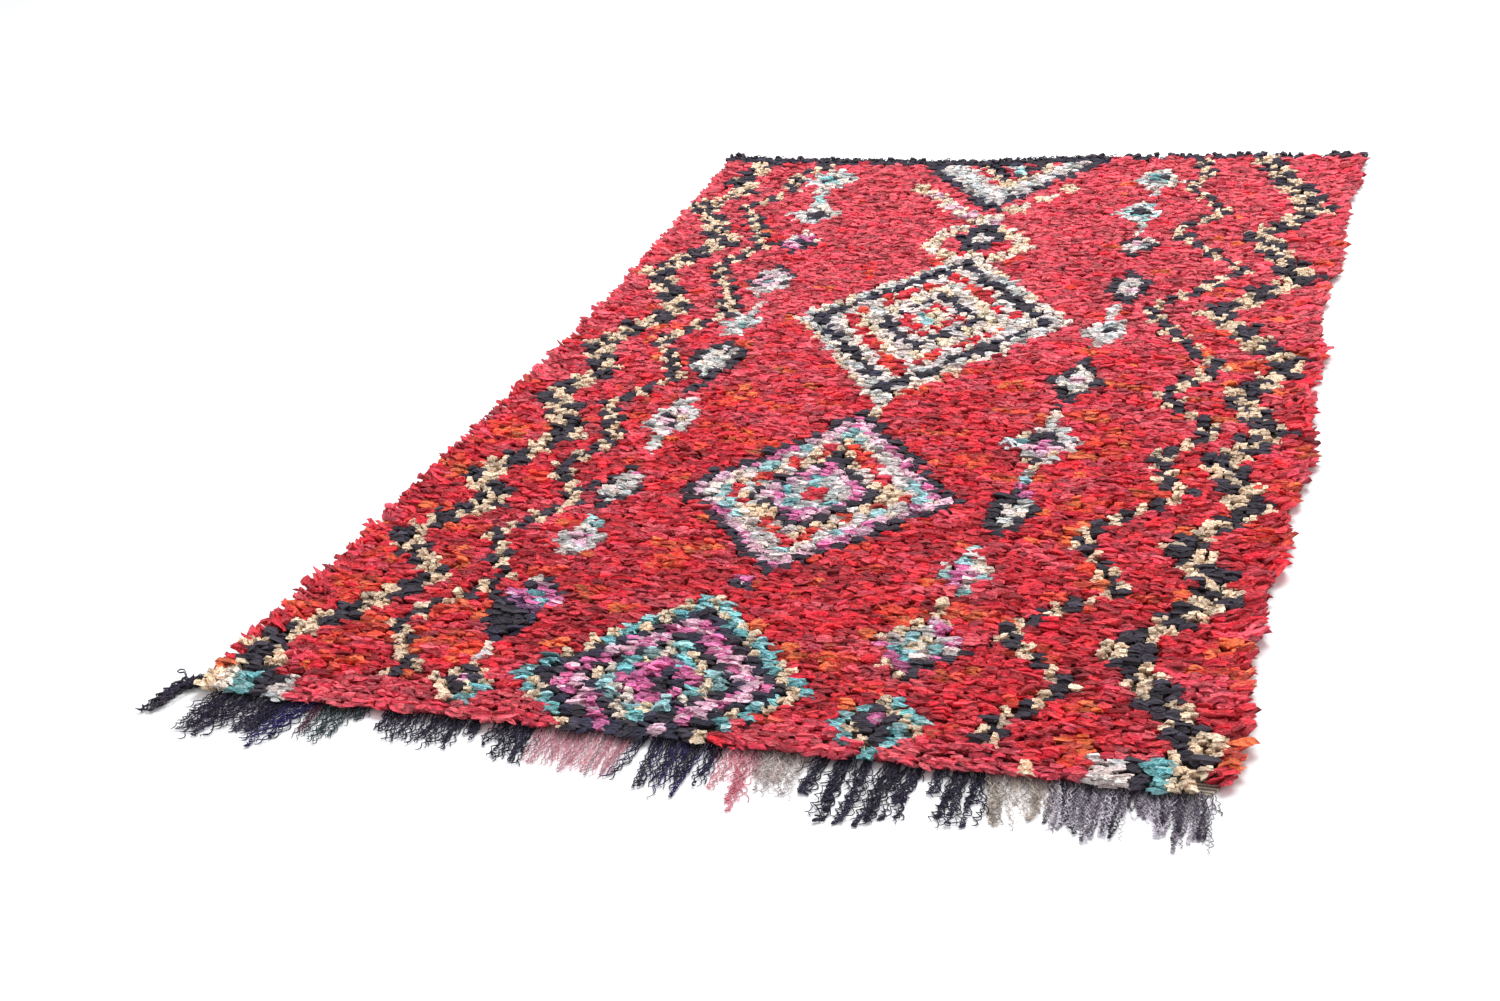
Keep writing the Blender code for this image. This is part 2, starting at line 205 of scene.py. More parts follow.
YARNS = {
    "crimson": Yarn("rag", (206, 20, 48)),
    "scarlet": Yarn("rag", (224, 32, 50)),
    "rose red": Yarn("rag", (216, 54, 78)),
    "coral": Yarn("rag", (220, 80, 94)),
    "wine red": Yarn("rag", (180, 16, 42)),
    "flame": Yarn("rag", (226, 66, 42)),
    "orange": Yarn("rag", (236, 110, 56)),
    "beige": Yarn("wool", (244, 218, 188)),
    "cream": Yarn("wool", (244, 230, 216)),
    "straw": Yarn("wool", (244, 226, 196)),
    "white": Yarn("rag", (234, 220, 216)),
    "ice": Yarn("rag", (206, 211, 209)),
    "aqua": Yarn("rag", (160, 206, 208)),
    "teal": Yarn("rag", (112, 186, 190)),
    "orchid": Yarn("rag", (222, 112, 168)),
    "petal": Yarn("rag", (240, 196, 214)),
    "black": Yarn("roll", (47, 43, 54)),
    "ink": Yarn("roll", (40, 40, 58)),
    "plum": Yarn("rag", (120, 70, 120)),
    "soot": Yarn("wool", (58, 51, 64)),
}


def linear(screen):
    """Light values of a colour given as it looks on a screen, 0 to 255."""
    return [((c / 255 + 0.055) / 1.055) ** 2.4 if c > 10 else c / 255 / 12.92 for c in screen]


print("yarns:", len(YARNS))

# %% [markdown]
# ## The zigzags
#
# The rug has seventy knots across and a hundred and six rows. Two zigzags run up each side, each
# one block of dark and one of pale side by side. The outer zigzag is thick: its blocks are about
# two knots wide and change places every row or two, like a chequer. The inner one is thin: its
# blocks are a knot wide and change places at every row. A zigzag is a list of its turning points.
# At each row the weaver only needs to know how far across it is, and how often the colours have
# changed places so far. `rows` is the longest run of rows without a change, and `pitch` the width
# of a block in millimetres.

# %% Chart the zigzags
COLUMNS, ROWS = 70, 106
Zigzag = namedtuple("Zigzag", "turns columns rows pitch")
Turn = namedtuple("Turn", "x along")


def turns(*numbers):
    return [Turn(x, along) for x, along in zip(numbers[::2], numbers[1::2])]


ZIGZAGS = (
    Zigzag(
        turns(
            -606, -20, -600, 22, -582, 75, -604, 108, -493, 252, -452, 309, -559, 415, -471, 527,
            -528, 610, -449, 769, -536, 899, -494, 1005, -547, 1106, -458, 1271, -567, 1453,
            -490, 1605, -603, 1804, -548, 1889, -586, 1980, -541, 2104,
        ),
        2, 2, 32,
    ),
    Zigzag(
        turns(
            -494, -20, -382, 84, -449, 191, -352, 319, -425, 432, -348, 543, -415, 663, -366, 752,
            -427, 874, -357, 991, -438, 1135, -359, 1261, -455, 1480, -404, 1590, -505, 1799,
            -445, 1906, -469, 1980, -398, 2094,
        ),
        2, 1, 18,
    ),
    Zigzag(
        turns(
            590, -20, 606, 80, 491, 266, 592, 400, 530, 538, 608, 639, 546, 779, 610, 880, 541, 986,
            612, 1110, 470, 1314, 590, 1484, 500, 1687, 588, 1814, 520, 1980, 462, 2132,
        ),
        2, 2, 32,
    ),
    Zigzag(
        turns(
            454, -30, 383, 37, 369, 89, 453, 161, 349, 285, 468, 405, 390, 543, 504, 668, 456, 779,
            531, 865, 430, 996, 500, 1096, 360, 1319, 492, 1508, 349, 1692, 425, 1809, 343, 1931,
            367, 2024, 333, 2123,
        ),
        2, 1, 18,
    ),
)


def changes(seed):
    """How often dark and pale have changed places before each row, with runs of one or two rows."""
    rng = random.Random(seed)
    counts = []
    while len(counts) < ROWS:
        counts += [counts[-1] + 1 if counts else 0] * rng.choice((1, 2, 2))
    return counts


CHANGES = changes(3)


def zigzag_yarn(zigzag, x, along, row):
    """The yarn of a knot on a zigzag, or None beside it."""
    middle = float(np.interp(along, [t.along for t in zigzag.turns], [t.x for t in zigzag.turns]))
    column = math.floor((x - middle) / zigzag.pitch + zigzag.columns / 2)
    if not 0 <= column < zigzag.columns:
        return None
    dark = ((CHANGES[row] if zigzag.rows > 1 else row) + column) % 2 == 0
    return "black" if dark else "beige"


print("zigzags:", len(ZIGZAGS), "turning points:", sum(len(z.turns) for z in ZIGZAGS))

# %% [markdown]
# ## The lozenges
#
# The main motifs are lozenges: three large ones and half a fourth up the middle, a small dark one
# between the last two, and a column of small ones on either side. Each is a set of rings round a
# centre. A ring is given by the share of the way from the centre at which it ends and by its
# yarns, which take turns where there are several. The four reaches from the centre, left, right,
# up and down, may differ, as they do on the loom.

# %% Chart the lozenges
Lozenge = namedtuple("Lozenge", "x along left right up down rings")
Ring = namedtuple("Ring", "until yarns")


def lozenge(x, along, left, right, up, down, *pairs):
    """A lozenge whose rings are given as pairs of a share and its yarns."""
    rings = [Ring(until, yarns.split("/")) for until, yarns in zip(pairs[::2], pairs[1::2])]
    return Lozenge(x, along, left, right, up, down, rings)


LARGE = (
    lozenge(
        -43, 106, 196, 196, 214, 214,
        0.13, "black/ink", 0.28, "orchid", 0.46, "teal/beige/aqua/cream", 0.57, "black/ink",
        0.72, "orchid/petal/orchid", 0.84, "black/ink", 1.0, "teal/beige",
    ),
    lozenge(
        -2, 612, 204, 216, 276, 240,
        0.13, "scarlet/crimson", 0.26, "white/teal/ice", 0.37, "orchid/petal", 0.47, "black",
        0.54, "beige/white", 0.66, "scarlet/beige/flame", 0.82, "white/aqua/cream/white",
        0.91, "orchid/petal", 1.0, "black",
    ),
    lozenge(
        4, 1255, 240, 244, 318, 345,
        0.14, "straw/cream/aqua", 0.23, "scarlet/crimson", 0.30, "white/cream", 0.38, "black/ink",
        0.56, "cream/white/straw", 0.67, "crimson/white/crimson/flame", 0.76, "white/cream",
        0.87, "black/ink/black", 0.95, "ice/cream/white", 1.0, "cream/beige",
    ),
    lozenge(
        -20, 2175, 270, 226, 300, 392,
        0.14, "crimson/scarlet", 0.34, "white/ice/cream", 0.44, "coral/aqua/cream", 0.53, "black/ink",
        0.66, "coral/beige/straw", 0.90, "white/ice/white", 1.0, "black/ink",
    ),
)
SMALL = (
    lozenge(-295, 66, 54, 54, 58, 58, 0.28, "orchid", 0.62, "black/beige", 1.0, "teal/beige"),
    lozenge(
        -296, 262, 58, 58, 82, 60,
        0.5, "plum/orchid/teal", 0.8, "orchid/plum/black", 1.0, "black/cream",
    ),
    lozenge(-296, 214, 40, 40, 60, 62, 1.0, "ink/black"),
    lozenge(-293, 433, 42, 42, 68, 60, 0.4, "orchid/petal", 1.0, "aqua/white/ice"),
    lozenge(
        -296, 591, 46, 46, 80, 72,
        0.5, "white/ice", 0.75, "cream/white", 0.9, "black", 1.0, "orchid/black",
    ),
    lozenge(-300, 827, 52, 46, 92, 92, 0.22, "orchid", 0.5, "petal/black/beige", 1.0, "white/ice/white"),
    lozenge(-314, 1062, 58, 58, 78, 82, 0.72, "white/ice/cream", 1.0, "black"),
    lozenge(-322, 1217, 36, 36, 74, 74, 0.3, "cream/aqua", 1.0, "white/ice"),
    lozenge(-332, 1411, 46, 46, 88, 84, 0.3, "aqua/petal", 0.66, "white/petal", 1.0, "black/white"),
    lozenge(-342, 1609, 44, 44, 70, 62, 0.4, "petal/ink", 0.75, "ice/black/orchid", 1.0, "black/cream"),
    lozenge(-352, 1762, 56, 52, 66, 60, 0.3, "black", 0.6, "white/black", 1.0, "ice/cream/white"),
    lozenge(-384, 1968, 56, 56, 80, 86, 0.42, "black/ink/teal", 1.0, "white/cream/ice"),
    lozenge(
        241, 60, 64, 64, 70, 62,
        0.2, "orchid", 0.42, "black", 0.68, "beige/black", 1.0, "teal/beige/teal",
    ),
    lozenge(
        250, 237, 72, 66, 84, 84,
        0.3, "beige/cream", 0.56, "teal/white/aqua", 0.82, "black/white/orchid", 1.0, "black/beige",
    ),
    lozenge(266, 415, 40, 40, 66, 60, 0.4, "orchid", 0.7, "white/orchid", 1.0, "teal/aqua/cream"),
    lozenge(286, 596, 42, 42, 92, 90, 0.55, "white/cream/ice", 0.85, "black", 1.0, "orchid/black"),
    lozenge(
        290, 808, 60, 60, 78, 86,
        0.26, "orchid", 0.5, "black/petal", 0.7, "teal/white/black", 1.0, "white/beige/ice",
    ),
    lozenge(295, 1030, 44, 44, 94, 90, 0.3, "ice/petal", 0.66, "white/cream", 1.0, "black"),
    lozenge(303, 1232, 38, 38, 66, 72, 0.3, "black/ice", 1.0, "white/ice"),
    lozenge(312, 1426, 44, 44, 88, 90, 0.3, "petal/white", 0.58, "white", 1.0, "black"),
    lozenge(294, 1623, 38, 38, 70, 66, 0.4, "white/petal", 0.72, "ink/white", 1.0, "black/cream"),
    lozenge(270, 1788, 46, 46, 72, 56, 0.34, "black", 0.62, "ice/black/teal", 1.0, "ice/aqua"),
    lozenge(276, 1980, 50, 50, 82, 82, 0.42, "teal/black", 0.66, "ice/white", 1.0, "cream/white"),
    lozenge(1, 1640, 46, 46, 98, 94, 0.3, "cream/white", 0.5, "white/black", 1.0, "black/ink/black"),
)


def ring_yarn(motif, x, along, count):
    """The yarn of a knot inside a lozenge, or None outside it."""
    reach_x = motif.left if x < motif.x else motif.right
    reach_y = motif.up if along > motif.along else motif.down
    away = abs(x - motif.x) / reach_x + abs(along - motif.along) / reach_y
    for ring in motif.rings:
        if away <= ring.until:
            return ring.yarns[count % len(ring.yarns)]
    return None


print("lozenges:", len(LARGE), "large and", len(SMALL), "small")

# %% [markdown]
# ## Lines and stems
#
# A few lines tie the motifs together: pale arms below the half lozenge, a pale line on each side
# of the small dark one, and short stems between the small lozenges of a column. Short strokes set
# the patches of teal, white and black at the two near corners, and two rosy bands run along the
# near edge. A line is a path with a width and the yarns that take turns along it.

# %% Chart the lines
Line = namedtuple("Line", "path width yarns")


def line(width, yarns, *numbers):
    return Line(turns(*numbers), width, yarns.split("/"))


LINES = (
    line(44, "beige/cream", -638, 16, -612, 16),
    line(44, "teal", -598, 14, -580, 14),
    line(50, "black/ink", -566, 20, -556, 26),
    line(44, "white/petal", -536, 12, -522, 12),
    line(44, "coral/rose red", -506, 12, -490, 12),
    line(56, "coral/coral/rose red", -440, 24, -150, 24),
    line(48, "rose red/coral/rose red", 96, 22, 404, 22),
    line(40, "white/petal", 512, 12, 524, 12),
    line(34, "black/ink", 542, 12, 546, 20),
    line(34, "teal/aqua", 560, 12, 572, 18),
    line(34, "beige", 594, 12, 614, 16),
    line(42, "beige/cream/petal", -182, 1916, -120, 1846, -63, 1780, -22, 1742, 11, 1700),
    line(40, "beige/coral/cream", 115, 1930, 58, 1850, 29, 1800, -18, 1745, -40, 1716),
    line(38, "cream/beige", -40, 1716, -72, 1662, -84, 1615, -52, 1560, -20, 1530),
    line(38, "beige/cream", 11, 1700, 52, 1680, 92, 1610, 74, 1568, 30, 1540),
    line(20, "aqua/ice", -372, 1860, -368, 1810),
    line(20, "ice/coral", -380, 1900, -374, 1866),
    line(18, "ice/cream", 272, 1900, 272, 1850),
    line(18, "cream/ice", 290, 1740, 282, 1694),
    line(18, "white", 303, 1330, 304, 1296),
    line(20, "white/cream", -326, 1320, -324, 1290),
    line(20, "black", -300, 985, -308, 940),
    line(20, "black/cream", 286, 940, 284, 896),
    line(20, "ice/aqua", 284, 730, 284, 700),
    line(20, "black/plum", 285, 690, 285, 660),
    line(20, "white/aqua", -300, 740, -298, 712),
    line(18, "aqua", -292, 512, -292, 484),
    line(18, "aqua/white", 262, 500, 262, 470),
    line(20, "beige/cream", 262, 344, 258, 312),
    line(20, "cream/white", -298, 156, -296, 124),
    line(24, "black/ink", 588, 1484, 640, 1476),
    line(26, "orchid/black", -24, 372, -24, 340),
    line(24, "cream/beige", 8, 912, 8, 884),
)


def distance_to(path, x, along):
    """How far a place is from a path, and how far along the path its nearest point is."""
    best, walked = (1e9, 0.0), 0.0
    for start, end in zip(path, path[1:]):
        step = (end.x - start.x, end.along - start.along)
        long = math.hypot(*step)
        share = ((x - start.x) * step[0] + (along - start.along) * step[1]) / long**2
        share = min(max(share, 0.0), 1.0)
        off = math.hypot(x - start.x - share * step[0], along - start.along - share * step[1])
        best = min(best, (off, walked + share * long))
        walked += long
    return best


YARN_RUN = 24  # millimetres of a line before its next yarn


def line_yarn(item, x, along):
    """The yarn of a knot on a line, or None beside it."""
    off, walked = distance_to(item.path, x, along)
    return item.yarns[int(walked / YARN_RUN) % len(item.yarns)] if off < item.width / 2 else None


print("lines:", len(LINES))

# %% [markdown]
# ## The red field
#
# The ground between the motifs is a patchwork of reds. The weaver used up one garment after
# another, so a shade runs along the rows for a hand's width or two and then changes. Two slow
# noises choose the shade, and a fine one breaks up their edges. The first decides how pale the
# cloth is, which grows towards the far end. The second brings in the orange rags, mostly in the
# near half and most of all near the left corner.

# %% Choose the red of a knot
def field_yarn(x, along, rng):
    """The red or orange rag of a knot on the plain field."""
    fine = noise.noise(Vector((x / 52, along / 15, 5.3))) + rng.uniform(-0.2, 0.2)
    warm = noise.noise(Vector((x / 85, along / 42, 9.1))) + 0.45 * fine
    warm += 0.34 * max(0.0, 1 - math.hypot(x + 500, along - 130) / 260)  # the near left corner
    if warm > (0.30 if along < 1100 else 0.30 + (along - 1100) / 1800):
        return rng.choice(("orange", "flame", "flame"))
    patch = noise.noise(Vector((x / 130, along / 44, 1.7)))
    # paler shades grow more likely towards the far end
    paling = -0.16 + 0.62 * min(max((along - 700) / 700, 0.0), 1.0)
    tone = paling + 0.75 * patch + 0.45 * fine
    for until, yarn in ((-0.46, "wine red"), (-0.12, "crimson"), (0.04, "scarlet"), (0.22, "rose red")):
        if tone < until:
            return yarn
    return "coral"


def knot_yarn(x, along, row, column, rng):
    """The yarn of a knot: the motifs come first, and the field fills what they leave."""
    if row == ROWS - 1 and rng.random() < (0.95 if x < 140 else 0.35):
        return rng.choice(("black", "ink"))
    charts = (
        *(ring_yarn(motif, x, along, row // 2 + column) for motif in LARGE),
        *(ring_yarn(motif, x, along, row + column) for motif in SMALL),
        *(line_yarn(item, x, along) for item in LINES),
        *(zigzag_yarn(zigzag, x, along, row) for zigzag in ZIGZAGS),
    )
    return next(filter(None, charts), None) or field_yarn(x, along, rng)


# %% [markdown]
# ## Tying the knots
#
# Each knot is a place on the rug with its yarn. Knots do not sit on a perfect grid, so each one is
# nudged a little, and rows of the loom stay readable because the nudge along the rug is the
# smaller one. Behind the last row stands the selvedge, small dark knots of wool, two to a column,
# close together at the left and gappy at the right.

# %% Lay out the knots
Knot = namedtuple("Knot", "x along row column yarn")


def lay_out_knots():
    rng = random.Random(5)
    knots = []
    for row in range(ROWS):
        for column in range(COLUMNS):
            x, along = on_rug((column + 0.5) / COLUMNS, (row + 0.45) / ROWS)
            yarn = knot_yarn(x, along, row, column, rng)
            spot = (x + rng.uniform(-3.5, 3.5), along + rng.uniform(-1.5, 1.5))
            knots.append(Knot(*spot, row, column, yarn))
    for column in range(COLUMNS * 2):  # the selvedge
        x, along = on_rug((column + 0.5) / COLUMNS / 2, 1.0)
        if rng.random() < (0.95 if x < 130 else 0.35):
            knots.append(Knot(x, along + rng.uniform(-3, 5), ROWS, column // 2, "soot"))
    return knots


knots = lay_out_knots()
forms = [YARNS[knot.yarn].form for knot in knots]
print("knots:", len(knots), {form: forms.count(form) for form in ("rag", "wool", "roll")})

# %% [markdown]
# ## Helpers for trees of nodes
#
# Geometry Nodes repeat a tuft thousands of times without a hand-written loop. A tree has named
# inputs for its sizes, and a modifier sets them by the socket's identifier. `bake_tree` runs the
# tree once and keeps the result as a plain mesh, so that nothing live is left on the piece. The
# short functions from `work_out` to `attribute` each add one node and return what comes out of it.
# All but the last serve the trees of materials too.

# %% Build and run a Geometry Nodes tree
def new_tree(name, inputs):
    """An empty tree with a Geometry input, a Geometry output and the named inputs."""
    tree = bpy.data.node_groups.new(name, "GeometryNodeTree")
    tree.interface.new_socket("Geometry", in_out="INPUT", socket_type="NodeSocketGeometry")
    for title, kind in inputs.items():
        tree.interface.new_socket(title, in_out="INPUT", socket_type="NodeSocket" + kind)
    tree.interface.new_socket("Geometry", in_out="OUTPUT", socket_type="NodeSocketGeometry")
    return tree, tree.nodes.new("NodeGroupInput"), tree.nodes.new("NodeGroupOutput")


def add_node(tree, kind, links=(), **settings):
    """A node with its settings, and links given as pairs of an input and what feeds it."""
    node = tree.nodes.new(kind)
    for name, value in settings.items():
        setattr(node, name, value)
    for socket, source in dict(links).items():
        if isinstance(source, bpy.types.NodeSocket):
            tree.links.new(source, node.inputs[socket])
        else:
            node.inputs[socket].default_value = source
    return node


def work_out(tree, operation, *values):
    """The result of a Math node that is fed with these values."""
    return add_node(tree, "ShaderNodeMath", enumerate(values), operation=operation).outputs[0]


def combine(tree, operation, *values):
    """The result of a Vector Math node that is fed with these values."""
    return add_node(tree, "ShaderNodeVectorMath", enumerate(values), operation=operation).outputs[0]


def blend(tree, factor, a, b):
    """The result of a Mix node that goes from colour a to colour b."""
    links = {"Factor": factor, "A": a, "B": b}
    return add_node(tree, "ShaderNodeMix", links, data_type="RGBA").outputs["Result"]


def stretch(tree, value, low, high, to_low=0.0, to_high=1.0):
    """The result of a Map Range node, which turns low to high into to_low to to_high."""
    values = (value, low, high, to_low, to_high)
    return add_node(tree, "ShaderNodeMapRange", enumerate(values)).outputs[0]


def attribute(tree, name, kind="FLOAT"):
    """A named attribute of the mesh, as a Geometry Nodes tree reads it."""
    node = add_node(tree, "GeometryNodeInputNamedAttribute", {"Name": name}, data_type=kind)
    return node.outputs[0]


def end_tree(tree, given, result, geometry):
    """Gives the geometry its finish and makes it the result of the tree."""
    done = add_node(
        tree, "GeometryNodeSetMaterial", {"Geometry": geometry, "Material": given.outputs["Finish"]},
    )
    tree.links.new(done.outputs[0], result.inputs[0])
    return tree


def triangles(piece):
    return sum(len(face.vertices) - 2 for face in piece.data.polygons)


def bake_tree(name, mesh, tree, values):
    """Runs a tree on a mesh with the named inputs, and returns an object with the plain result."""
    source = set_out(name + "_source", mesh)
    modifier = source.modifiers.new("nodes", "NODES")
    modifier.node_group = tree
    for item in tree.interface.items_tree:
        if item.in_out == "INPUT" and item.name in values:
            modifier[item.identifier] = values[item.name]
    evaluated = source.evaluated_get(bpy.context.evaluated_depsgraph_get())
    made = bpy.data.meshes.new_from_object(evaluated)
    made.name = name
    source.modifiers.remove(modifier)
    bpy.data.objects.remove(source)
    return set_out(name, made)


def put(mesh, name, kind, values):
    """Stores one number, vector or colour for each point of a mesh."""
    layer = mesh.attributes.new(name, kind, "POINT")
    key = {"FLOAT": "value", "FLOAT_COLOR": "color"}.get(kind, "vector")
    layer.data.foreach_set(key, np.asarray(values, np.float32).ravel())


# %% [markdown]
# ## One tuft of rag
#
# A knotted rag end rises from the ground, is pressed over towards the near end and crumples into
# flakes that lie along the row. A flake is a closed strip of two or three cuts. Each cut has a root
# at the back, a crest where the cloth turns over, and a lip that overhangs the row in front. An end
# of the strip is either cut off blunt or drawn out to a point. The eight to eighteen faces, left
# unsmoothed, catch the light like the creases of torn cotton, and they are few enough to repeat
# tens of thousands of times.

# %% Shape a rag tuft
CREST, LIP, ROOT = Vector((0, -1.0, 18.0)), Vector((0, -9.0, 13.0)), Vector((0, 4.0, 6.0))
TWO_CUTS, THREE_CUTS = (-0.55, 0.55), (-0.8, 0.05, 0.8)


def flake(name, rng, cuts, pointed, half, deep, crumple):
    """A closed flake of cloth lying along its row, with the attributes that its finish reads."""

    def loose(amount):
        return Vector([rng.uniform(-1, 1) * crumple * amount for _ in range(3)])

    points, reach, flat, faces = [], [], [], []
    for share in cuts:
        middle = Vector((half * share * rng.uniform(0.85, 1.15), 0, 0))
        crest = CREST + middle + loose(0.8) + Vector((0, 0, -1.8 * abs(share)))
        lip = crest + (LIP - CREST) * deep * rng.uniform(0.7, 1.3) * (1 - 0.3 * abs(share)) + loose(0.7)
        points += [ROOT + middle + loose(0.5), crest, lip]
        # reach: the finish paints the low root darker as shade, and the crest and lip paler
        reach += [0.25, 0.85, 1.0]
        flat += [(0.5 + 0.48 * share, v) for v in (0.05, 0.5, 0.95)]
    last = len(points) - 3
    for a, b in ((0, 1), (1, 2), (2, 0)):
        for cut in range(0, last, 3):
            one, two = cut + a, cut + b
            faces += [(one, two, two + 3), (one, two + 3, one + 3)]
    for side, first in ((-1, 0), (1, last)):
        if pointed[side > 0]:
            tip = Vector((side * half, CREST.y - 3.5, 14.0)) + loose(1.3)
            faces += [(first + a, first + b, len(points)) for a, b in ((0, 1), (1, 2), (2, 0))]
            points.append(tip)
            reach.append(0.85)
            flat.append((0.5 + 0.48 * side, 0.5))
        else:
            faces.append((first, first + 1, first + 2))
    mesh = bpy.data.meshes.new(name)
    mesh.from_pydata([p * MM for p in points], [], faces)
    finish_tuft(mesh, reach, flat)
    return mesh


def finish_tuft(mesh, reach, flat):
    """Turns a tuft's faces outward and stores how far up each point is and where it lies flat."""
    put(mesh, "reach", "FLOAT", reach)
    put(mesh, "lie", "FLOAT_VECTOR", [(u, v, 0) for u, v in flat])
    shape = bmesh.new()
    shape.from_mesh(mesh)
    bmesh.ops.recalc_face_normals(shape, faces=shape.faces)
    shape.to_mesh(mesh)
    shape.free()


# %% [markdown]
# ## A shelf of tufts
#
# Three kinds of yarn make three kinds of flake: rag is long, thin and the most creased, thick
# jersey is deeper, and wool breaks into many small ones, like the head of a cauliflower. Twelve to
# thirty-two of each kind lie ready, so that repeats do not show.

# %% Fill the shelves
def shelf(name, meshes):
    """A collection of tufts that is never linked to the scene: the tree picks from it."""
    collection = bpy.data.collections.new(name)
    for mesh in meshes:
        collection.objects.link(bpy.data.objects.new(mesh.name, mesh))
    return collection


def flakes(kind, count, cuts, half, deep, crumple):
    """Flakes of one kind: some blunt at both ends, some with one point, some with two."""
    rng = random.Random(21 + count)
    ends = ((False, False), (True, False), (False, True), (True, True))
    return shelf(kind + " tufts", [
        flake(f"{kind}_{n:02d}", rng, cuts[n % len(cuts)], ends[n // 2 % 4],
              half * rng.uniform(0.72, 1.2), deep * rng.uniform(0.75, 1.3), crumple)
        for n in range(count)
    ])


SHELVES = {
    "rag": flakes("rag", 32, (TWO_CUTS, THREE_CUTS), 11.5, 0.44, 2.1),
    "roll": flakes("roll", 12, (THREE_CUTS,), 11.0, 0.52, 1.9),
    "wool": flakes("wool", 16, (TWO_CUTS,), 6.6, 0.46, 1.6),
}

# %% [markdown]
# ## Cloth finishes
#
# All three kinds of tuft read their colour from the `tint` that each tuft carries, so one finish
# serves many shades. A fine noise mottles the colour at random. A noise laid on the flake's own flat
# map makes its creases as bumps and also darkens the colour in them, which is painted shade. The
# foot of each tuft is painted darker, as shade deep in the pile, and its edge paler, partly worn
# fuzz and partly a painted highlight.
# Wool has the finest and strongest bumps, and the thick jersey the weakest. A little sheen stands
# for the loose fibres that catch light at a flat angle.

# %% Make the finishes
def cloth(name, roughness, sheen, bump_scale, bump_strength, wear_and_highlight, bright):
    """A fabric coloured by an attribute, varied and bumped by noise, with painted crease and foot shade.
    """
    material, tree, shader = new_material(name, {
        "Roughness": roughness, "Sheen Weight": sheen, "Sheen Roughness": 0.45,
        "Specular IOR Level": 0.25,
    })
    where = add_node(tree, "ShaderNodeTexCoord").outputs["Object"]
    colour, reach, lie, cell = (
        add_node(tree, "ShaderNodeAttribute", attribute_name=stored).outputs[socket]
        for stored, socket in (
            ("tint", "Color"), ("reach", "Fac"), ("lie", "Vector"), ("cell", "Vector"),
        )
    )
    flat = combine(tree, "MULTIPLY_ADD", lie, (3.0, 5.0, 0.0), cell)
    crease, mottle, fine = (
        add_node(
            tree, "ShaderNodeTexNoise", {"Vector": at, "Scale": scale, "Detail": detail},
        ).outputs["Fac"]
        for at, scale, detail in ((flat, 1.0, 3.0), (where, 260.0, 4.0), (where, bump_scale, 2.0))
    )
    # painted shade: the crease noise darkens the colour in the creases, on top of a random mottle
    mottle_and_crease_shade = work_out(tree, "ADD", mottle, crease)
    # painted shade: each tuft is darker towards its foot, deep in the pile
    painted_foot_shade = stretch(tree, reach, 0.0, 1.0, 0.46, 1.16)
    value = stretch(tree, mottle_and_crease_shade, 0.78, 1.22, 0.74 * bright, 1.66 * bright)
    both = work_out(tree, "MULTIPLY", value, painted_foot_shade)
    shade = add_node(tree, "ShaderNodeHueSaturation", {"Color": colour, "Value": both})
    # the crest and lip turn a paler pinkish grey: partly worn fuzz, partly a painted highlight
    tip_wear_and_highlight = stretch(tree, reach, 0.55, 1.0, 0.0, wear_and_highlight)
    mix = blend(tree, tip_wear_and_highlight, shade.outputs["Color"], (0.82, 0.72, 0.70, 1))
    tree.links.new(mix, shader.inputs["Base Color"])
    folds = work_out(tree, "MULTIPLY_ADD", crease, 2.0, fine)
    bump = add_node(
        tree, "ShaderNodeBump", {"Height": folds, "Strength": bump_strength, "Distance": 0.0045},
    )
    tree.links.new(bump.outputs["Normal"], shader.inputs["Normal"])
    return material


FINISH = {
    "rag": cloth("rag cloth", 0.92, 0.06, 260.0, 0.9, 0.045, 0.985),
    "wool": cloth("cut wool", 0.95, 0.10, 500.0, 1.0, 0.04, 1.2),
    "roll": cloth("thick jersey", 0.88, 0.04, 300.0, 0.6, 0.03, 1.0),
}
print("finishes:", [material.name for material in FINISH.values()])

# %% [markdown]
# ## The tree that ties the tufts
#
# The tree puts a tuft on every point it is given. A fixed seed picks which tuft, and turns, leans
# and sizes it a little. The point's own `yaw` says which way the tuft hangs over, towards the near
# end on the field and outward along the rug's sides, and `size` how large it is. `cell` and `lie`
# place each tuft in a small square of its own on the piece's flat map.

